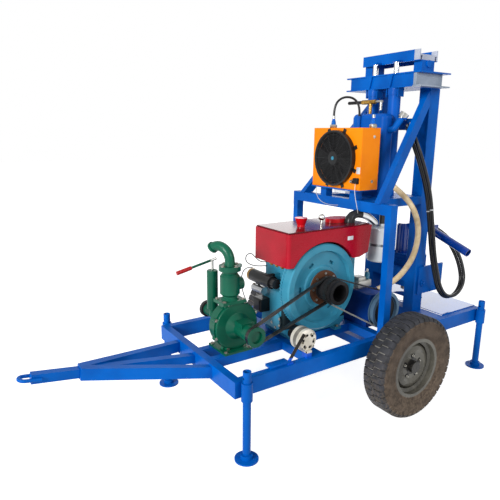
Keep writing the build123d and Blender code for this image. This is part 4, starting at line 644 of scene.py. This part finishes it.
for side, sign in (("left", 1), ("right", -1)):
    centre = (wheelLine[0], sign * wheelFixings["discOut"], wheelLine[1])
    places = ring(centre, wheelFixings["circle"], wheelFixings["count"], wheelFixings["start"],
                  (0, sign, 0))
    bolts[side + "NutSeats"] = {**wheelFixings["seat"], "places": places, "body": "wheel_" + side}
    bolts[side + "WheelNuts"] = {**wheelFixings["nut"], "places": places, "body": "wheel_" + side}
for name, bolt in bolts.items():
    body = bolt.get("body", "chassis")
    spread(name, hexBolt(*bolt["bolt"]), bolt["places"], bolt["paint"], body)

# turned pieces: louvres, plug, badge, hose ends, bowl, clamps and pin, each step a radius and a height

fanCentre = (0, 1.654)  # y and z of the fan's axle
ferrule = [(0.024, 0), (0.026, 0.003), (0.026, 0.020), (0.018, 0.026)]
sleeve = [(0.0165, 0.026), (0.0175, 0.046), (0.0150, 0.070), (0.0115, 0.083)]
farUnion = [((-0.595, -0.160, 1.860), up)]
nearUnion = [((-0.595, 0.225, 1.860), up)]
hoseTie = [(0.0135, 0), (0.0145, 0.001), (0.0145, 0.007), (0.0135, 0.008)]
turnedPieces = {
    "alternatorLouvres": {
        "steps": [(0.0085, 0), (0.0085, 0.0012), (0.0075, 0.0018)], "segments": 16,
        "places": ring((0.106, 0.4628, 0.585), 0.041, 6, 15, left),
        "paint": "mouldedPlastic", "slot": "gear_iron",
    },
    "connectorPlug": {
        "steps": [(0.014, 0), (0.014, 0.012), (0.010, 0.016), (0.010, 0.026), (0.007, 0.030)],
        "segments": 20,
        "places": [((-0.485, 0.178, 1.506), front)], "paint": "zincPlate", "slot": "fan_plastic",
    },
    "hubBadge": {
        "steps": [(0.013, 0), (0.013, 0.002), (0.011, 0.003)], "segments": 24,
        "places": [((-0.4515, *fanCentre), front)], "paint": "tealEnamel", "slot": "fan_plastic",
    },
    "farFerrule": {
        "steps": ferrule, "segments": 6, "places": farUnion, "paint": "zincPlate", "slot": "cooler_paint",
    },
    "farSleeve": {
        "steps": sleeve, "segments": 24, "places": farUnion, "paint": "blueEnamel", "slot": "cooler_paint",
    },
    "nearFerrule": {
        "steps": ferrule, "segments": 28, "places": nearUnion, "paint": "zincPlate", "slot": "cooler_paint",
    },
    "nearSleeve": {
        "steps": sleeve, "segments": 24, "places": nearUnion, "paint": "blueEnamel", "slot": "cooler_paint",
    },
    "glassBowl": {
        "steps": [(0.013, 0), (0.019, 0.004), (0.019, 0.040), (0.014, 0.052), (0.008, 0.058),
                  (0.008, 0.072), (0.006, 0.075)],
        "segments": 24, "places": [((-0.670, 0.185, 0.792), up)], "paint": "glassTeal", "slot": "gear_iron",
    },
    "suctionClamp": {
        "steps": [(0.0212, 0), (0.0222, 0.001), (0.0222, 0.011), (0.0212, 0.012)], "segments": 32,
        "places": [((-0.8384, 0.2150, 1.4610), (-0.0244, 0.100, -0.065))], "paint": "zincPlate",
        "slot": "hose_rubber",
    },
    "hoseTieInner": {
        "steps": hoseTie, "segments": 32, "places": [((-1.1300, 0.3150, 1.2750), (-0.060, 0.0, -0.250))],
        "paint": "blankLabel", "slot": "hose_rubber",
    },
    "hoseTieOuter": {
        "steps": hoseTie, "segments": 32, "places": [((-1.1300, 0.3440, 1.2890), (-0.060, 0.0, -0.250))],
        "paint": "blankLabel", "slot": "hose_rubber",
    },
    "columnPin": {
        "steps": [(0.026, 0), (0.026, 0.020), (0.023, 0.024), (0.012, 0.024), (0.012, 0.034),
                  (0.010, 0.036)],
        "segments": 28, "places": [((-1.190, 0.258, 0.695), left)],
        "paint": "blueEnamel", "slot": "frame_paint",
    },
}
for name, turned in turnedPieces.items():
    master = turnedDisc(turned["steps"], turned["segments"])
    spread(name, master, turned["places"], turned["paint"])

# blank plates, the cooler's connector box, the block on the near rail, and the valve block of two castings

plates = {
    "ratingLabel": {
        "blocks": [{"size": (0.0012, 0.034, 0.044), "middle": (-0.4844, 0.220, 1.580), "bevel": 0.0005}],
        "paint": "blankLabel", "slot": "cooler_paint",
    },
    "coolerSign": {
        "blocks": [{"size": (0.0015, 0.110, 0.032), "middle": (-0.487, 0.050, 1.432), "bevel": 0.0005}],
        "paint": "blankLabel", "slot": "cooler_paint",
    },
    "connectorBox": {
        "blocks": [{"size": (0.022, 0.042, 0.038), "middle": (-0.474, 0.212, 1.512), "bevel": 0.004}],
        "paint": "mouldedPlastic", "slot": "fan_plastic",
    },
    "railBlock": {
        "blocks": [{"size": (0.140, 0.060, 0.018), "middle": (0.328, 0.450, 0.489), "bevel": 0.003}],
        "paint": "blueEnamel", "slot": "frame_paint",
    },
    "hopperPlate": {
        "blocks": [{"size": (0.050, 0.0012, 0.026), "middle": (-0.360, 0.3066, 1.150), "bevel": 0.0004}],
        "paint": "blankLabel", "slot": "hopper_paint",
    },
    "valveBlock": {
        "blocks": [
            {"size": (0.130, 0.100, 0.052), "middle": (-0.625, 0.165, 0.766), "bevel": 0.008, "segments": 3},
            {"size": (0.070, 0.075, 0.030), "middle": (-0.605, 0.165, 0.802), "bevel": 0.006, "segments": 3}],
        "paint": "castAluminium", "slot": "gear_iron",
    },
}
for name, plate in plates.items():
    blocks = [bevelledPlate(**block) for block in plate["blocks"]]
    finishPiece(joined(name, blocks), plate["paint"])

# wire guard over the fan

guard = {"face": -0.4530, "wire": 0.0019, "firstRing": 0.040, "pitch": 0.0102, "ringCount": 14,
         "ringSteps": 64, "spokeCount": 8, "spokeStart": 0.036, "spokeLong": 0.134, "spokeBehind": 0.003}


def modelGuard():
    # small circles above the fan's axle are spun about it, and straight spokes stand behind them
    bpy.ops.object.select_all(action="DESELECT")
    sections = []
    for step in range(guard["ringCount"]):
        spot = (guard["face"], fanCentre[0], fanCentre[1] + guard["firstRing"] + guard["pitch"] * step)
        bpy.ops.mesh.primitive_circle_add(vertices=6, radius=guard["wire"], fill_type="NOTHING",
                                          location=spot, rotation=(math.radians(90), 0, 0))
        sections.append(bpy.context.object)
    rings = joined("guardRings", sections)
    bpy.ops.object.mode_set(mode="EDIT")
    bpy.ops.mesh.select_all(action="SELECT")
    centre = (guard["face"], *fanCentre)
    bpy.ops.mesh.spin(steps=guard["ringSteps"], angle=2 * math.pi, center=centre, axis=front)
    bpy.ops.mesh.select_all(action="SELECT")
    bpy.ops.mesh.remove_doubles(threshold=0.0001)
    bpy.ops.mesh.normals_make_consistent(inside=False)
    bpy.ops.object.mode_set(mode="OBJECT")
    master = turnedDisc([(guard["wire"], 0), (guard["wire"], guard["spokeLong"])], 8)
    spokeCentre = Vector((guard["face"] - guard["spokeBehind"], *fanCentre))
    pieces = [rings]
    for step in range(guard["spokeCount"]):
        angle = 2 * math.pi * (step + 0.5) / guard["spokeCount"]
        arm = Vector((0, math.cos(angle), math.sin(angle)))
        spoke = copyOf(master)
        turnTo(spoke, spokeCentre + guard["spokeStart"] * arm, arm)
        pieces.append(spoke)
    bpy.data.objects.remove(master)
    return joined("fanGuard", pieces)


finishPiece(modelGuard(), "guardWire")

# tyres, each with a zigzag groove between two rows of close lugs

tyre = {
    "reach": 0.343, "pitchCount": 44,
    "lugLong": 0.041, "lugWide": 0.056, "lugHigh": 0.016, "lugInner": 0.006,
    # steps out and down over the shoulder, and how much the last one narrows
    "shoulder": (0.013, -0.007), "skirt": (0.0095, -0.021), "skirtShare": 0.72,
    "grooveSkew": 0.013, "bevel": 0.0016, "segments": 88,
    # radius and half width from the bead over the side wall to the crown
    "wall": [(0.1905, 0.0605), (0.2005, 0.0705), (0.214, 0.0735), (0.221, 0.0785), (0.227, 0.0765),
             (0.246, 0.0830), (0.266, 0.0858), (0.284, 0.0858), (0.300, 0.0838), (0.315, 0.0795),
             (0.325, 0.0730), (0.3315, 0.0600), (0.3345, 0.0350), (0.3350, 0.0)],
}


def modelLug():
    # one lug at the top of the wheel, its outer end folded down over the shoulder
    bpy.ops.object.select_all(action="DESELECT")
    middle = (0, tyre["lugInner"] + tyre["lugWide"] / 2, tyre["reach"] - tyre["lugHigh"] / 2)
    bpy.ops.mesh.primitive_cube_add(size=1, location=middle)
    lug = bpy.context.object
    lug.scale = (tyre["lugLong"], tyre["lugWide"], tyre["lugHigh"])
    settle(lug)

    # the outer face goes out and down in two steps
    bpy.ops.object.mode_set(mode="EDIT")
    bpy.ops.mesh.select_mode(type="FACE")
    bpy.ops.mesh.select_all(action="DESELECT")
    bpy.ops.object.mode_set(mode="OBJECT")
    for face in lug.data.polygons:
        face.select = face.normal.y > 0.9
    bpy.ops.object.mode_set(mode="EDIT")
    bpy.ops.mesh.extrude_region_move(TRANSFORM_OT_translate={"value": (0, *tyre["shoulder"])})
    bpy.ops.mesh.extrude_region_move(TRANSFORM_OT_translate={"value": (0, *tyre["skirt"])})
    bpy.ops.transform.resize(value=(tyre["skirtShare"], 1, 1))

    # one side of the inner end is drawn back, which makes the groove zigzag
    bpy.ops.mesh.select_mode(type="VERT")
    bpy.ops.mesh.select_all(action="DESELECT")
    bpy.ops.object.mode_set(mode="OBJECT")
    for corner in lug.data.vertices:
        corner.select = corner.co.y < 0.01 and corner.co.x > 0
    bpy.ops.object.mode_set(mode="EDIT")
    bpy.ops.transform.translate(value=(0, -tyre["grooveSkew"], 0))
    bpy.ops.object.mode_set(mode="OBJECT")
    applyBevel(lug, tyre["bevel"], 1)
    return lug


def modelCarcass():
    # a circle at the bead extruded over side wall, crown and side wall, and back through the inside
    steps = [(radius, -half) for radius, half in tyre["wall"]]
    steps += [(radius, half) for radius, half in reversed(tyre["wall"][:-1])]
    bpy.ops.object.select_all(action="DESELECT")
    bpy.ops.mesh.primitive_circle_add(vertices=tyre["segments"], radius=steps[0][0], fill_type="NOTHING",
                                      location=(0, 0, steps[0][1]))
    carcass = bpy.context.object
    bpy.ops.object.mode_set(mode="EDIT")
    bpy.ops.mesh.select_all(action="SELECT")
    for (radius, height), (nextRadius, nextHeight) in zip(steps, steps[1:] + steps[:1]):
        bpy.ops.mesh.extrude_region_move(TRANSFORM_OT_translate={"value": (0, 0, nextHeight - height)})
        share = nextRadius / radius
        bpy.ops.transform.resize(value=(share, share, 1), center_override=(0, 0, nextHeight))
    bpy.ops.mesh.select_all(action="SELECT")
    bpy.ops.mesh.remove_doubles(threshold=0.0002)
    bpy.ops.mesh.normals_make_consistent(inside=False)
    bpy.ops.object.mode_set(mode="OBJECT")
    settle(carcass)
    return carcass


for side, sign in (("left", 1), ("right", -1)):
    centre = Matrix.Translation((wheelLine[0], sign * wheelOut, wheelLine[1]))
    carcass = modelCarcass()
    carcass.matrix_world = centre @ Matrix.Rotation(math.radians(90), 4, "X")
    lug = modelLug()
    pieces = [carcass]
    for row in (0, 1):
        for count in range(tyre["pitchCount"]):
            turn = 2 * math.pi * (count + row / 2) / tyre["pitchCount"]
            item = copyOf(lug)
            flip = Matrix.Rotation(math.pi * row, 4, "Z")
            item.matrix_world = centre @ Matrix.Rotation(turn, 4, "Y") @ flip
            pieces.append(item)
    bpy.data.objects.remove(lug)
    item = joined(side + "Tyre", pieces)
    finishPiece(item, "tyreRubber", "wheel_" + side)
    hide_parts("tyre_" + side)

# bent duct from the hopper over to the air cleaner: a dark bell that narrows into a bright bend

duct = {
    "segments": 32,
    # back from the frame's front, left, up, radius, and turn in degrees about the y axis
    "steps": [(1.105, 0.200, 1.231, 0.036, 0), (1.105, 0.200, 1.243, 0.036, 0),
              (1.112, 0.200, 1.262, 0.033, 20), (1.132, 0.201, 1.278, 0.031, 30),
              (1.165, 0.203, 1.286, 0.030, 25), (1.205, 0.206, 1.282, 0.029, 20),
              (1.245, 0.210, 1.268, 0.027, 15), (1.280, 0.213, 1.248, 0.026, 10),
              (1.316, 0.217, 1.222, 0.026, 0), (1.335, 0.219, 1.206, 0.026, 0)],
}


def modelDuct():
    steps = duct["steps"]
    back, y, z, radius, turn = steps[0]
    bpy.ops.object.select_all(action="DESELECT")
    bpy.ops.mesh.primitive_circle_add(vertices=duct["segments"], radius=radius, fill_type="NGON",
                                      location=(frontFace - back, y, z))
    item = bpy.context.object
    bpy.ops.object.mode_set(mode="EDIT")
    bpy.ops.mesh.select_all(action="SELECT")
    for last, (back, y, z, radius, turn) in zip(steps, steps[1:]):
        move = (last[0] - back, y - last[1], z - last[2])
        centre = (frontFace - back, y, z)
        share = radius / last[3]
        bpy.ops.mesh.extrude_region_move(TRANSFORM_OT_translate={"value": move})
        bpy.ops.transform.resize(value=(share, share, share), center_override=centre)
        if turn:
            bpy.ops.transform.rotate(value=math.radians(turn), orient_axis="Y", center_override=centre)
    bpy.ops.mesh.select_all(action="SELECT")
    bpy.ops.mesh.normals_make_consistent(inside=False)
    bpy.ops.object.mode_set(mode="OBJECT")
    return joined("intakeDuct", [item])


item = modelDuct()
finishPiece(item, "ductChrome")
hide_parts("exhaust_elbow")

# floor, world, lamps and camera

studio = {"floorSize": 60, "floorColour": "D8D8D8", "floorGlow": 0.75, "worldStrength": 0.42,
          "white": (1, 1, 1, 1)}


def directRays(tree):
    # 1 where the camera, or a reflection or glass that it looks into, sees the surface
    rays = addNode(tree, "ShaderNodeLightPath").outputs
    seen = addNode(tree, "ShaderNodeMath", {0: rays["Is Camera Ray"], 1: rays["Is Glossy Ray"]},
                   operation="MAXIMUM").outputs[0]
    return addNode(tree, "ShaderNodeMath", {0: seen, 1: rays["Is Transmission Ray"]},
                   operation="MAXIMUM").outputs[0]


bpy.ops.object.select_all(action="DESELECT")
bpy.ops.mesh.primitive_plane_add(size=studio["floorSize"], location=(0, 0, 0))
floor = bpy.context.object
floor.name = "studioFloor"
paperFloor = bpy.data.materials.new("paperFloor")
tree = emptyTree(paperFloor)
glowShare = addNode(tree, "ShaderNodeMath", {0: directRays(tree), 1: studio["floorGlow"]},
                    operation="MULTIPLY").outputs[0]
glow = addNode(tree, "ShaderNodeEmission", {"Color": studio["white"], "Strength": glowShare})
paper = addNode(tree, "ShaderNodeBsdfDiffuse", {"Color": toLinear(studio["floorColour"])})
both = addNode(tree, "ShaderNodeAddShader", {0: glow.outputs[0], 1: paper.outputs[0]})
addNode(tree, "ShaderNodeOutputMaterial", {"Surface": both.outputs[0]})
floor.data.materials.append(paperFloor)

world = bpy.data.worlds.new("studio")
bpy.context.scene.world = world
tree = emptyTree(world)
dim = addNode(tree, "ShaderNodeBackground", {"Color": studio["white"], "Strength": studio["worldStrength"]})
bright = addNode(tree, "ShaderNodeBackground", {"Color": studio["white"], "Strength": 1.0})
sky = addNode(tree, "ShaderNodeMixShader", {0: directRays(tree), 1: dim.outputs[0], 2: bright.outputs[0]})
addNode(tree, "ShaderNodeOutputWorld", {"Surface": sky.outputs[0]})

lamps = {
    "keyLamp": {"place": (9.5, 2.6, 4.5), "size": 3.5, "watts": 1150},
    "fillLamp": {"place": (-2.0, 7.0, 4.5), "size": 3.0, "watts": 190},
    "backLamp": {"place": (-7.0, -6.0, 2.6), "size": 6.0, "watts": 130},
}
lampTarget = Vector((0, 0, 0.8))
for name, lamp in lamps.items():
    bpy.ops.object.light_add(type="AREA", location=lamp["place"])
    item = bpy.context.object
    item.name = name
    item.data.size = lamp["size"]
    item.data.energy = lamp["watts"]
    item.rotation_euler = (lampTarget - Vector(lamp["place"])).to_track_quat("-Z", "Y").to_euler()

view = {"place": (1.9746, 2.6305, 1.8214), "turnDegrees": (76.783, -0.430, 146.586), "lensMm": 35.917,
        "sensorMm": 36, "farEnd": 100}
bpy.ops.object.camera_add(location=view["place"], rotation=[math.radians(a) for a in view["turnDegrees"]])
camera = bpy.context.object
camera.data.lens = view["lensMm"]
camera.data.sensor_width = view["sensorMm"]
camera.data.clip_end = view["farEnd"]
bpy.context.scene.camera = camera
bpy.context.scene.view_settings.view_transform = "Standard"
print("floor, light and camera done")
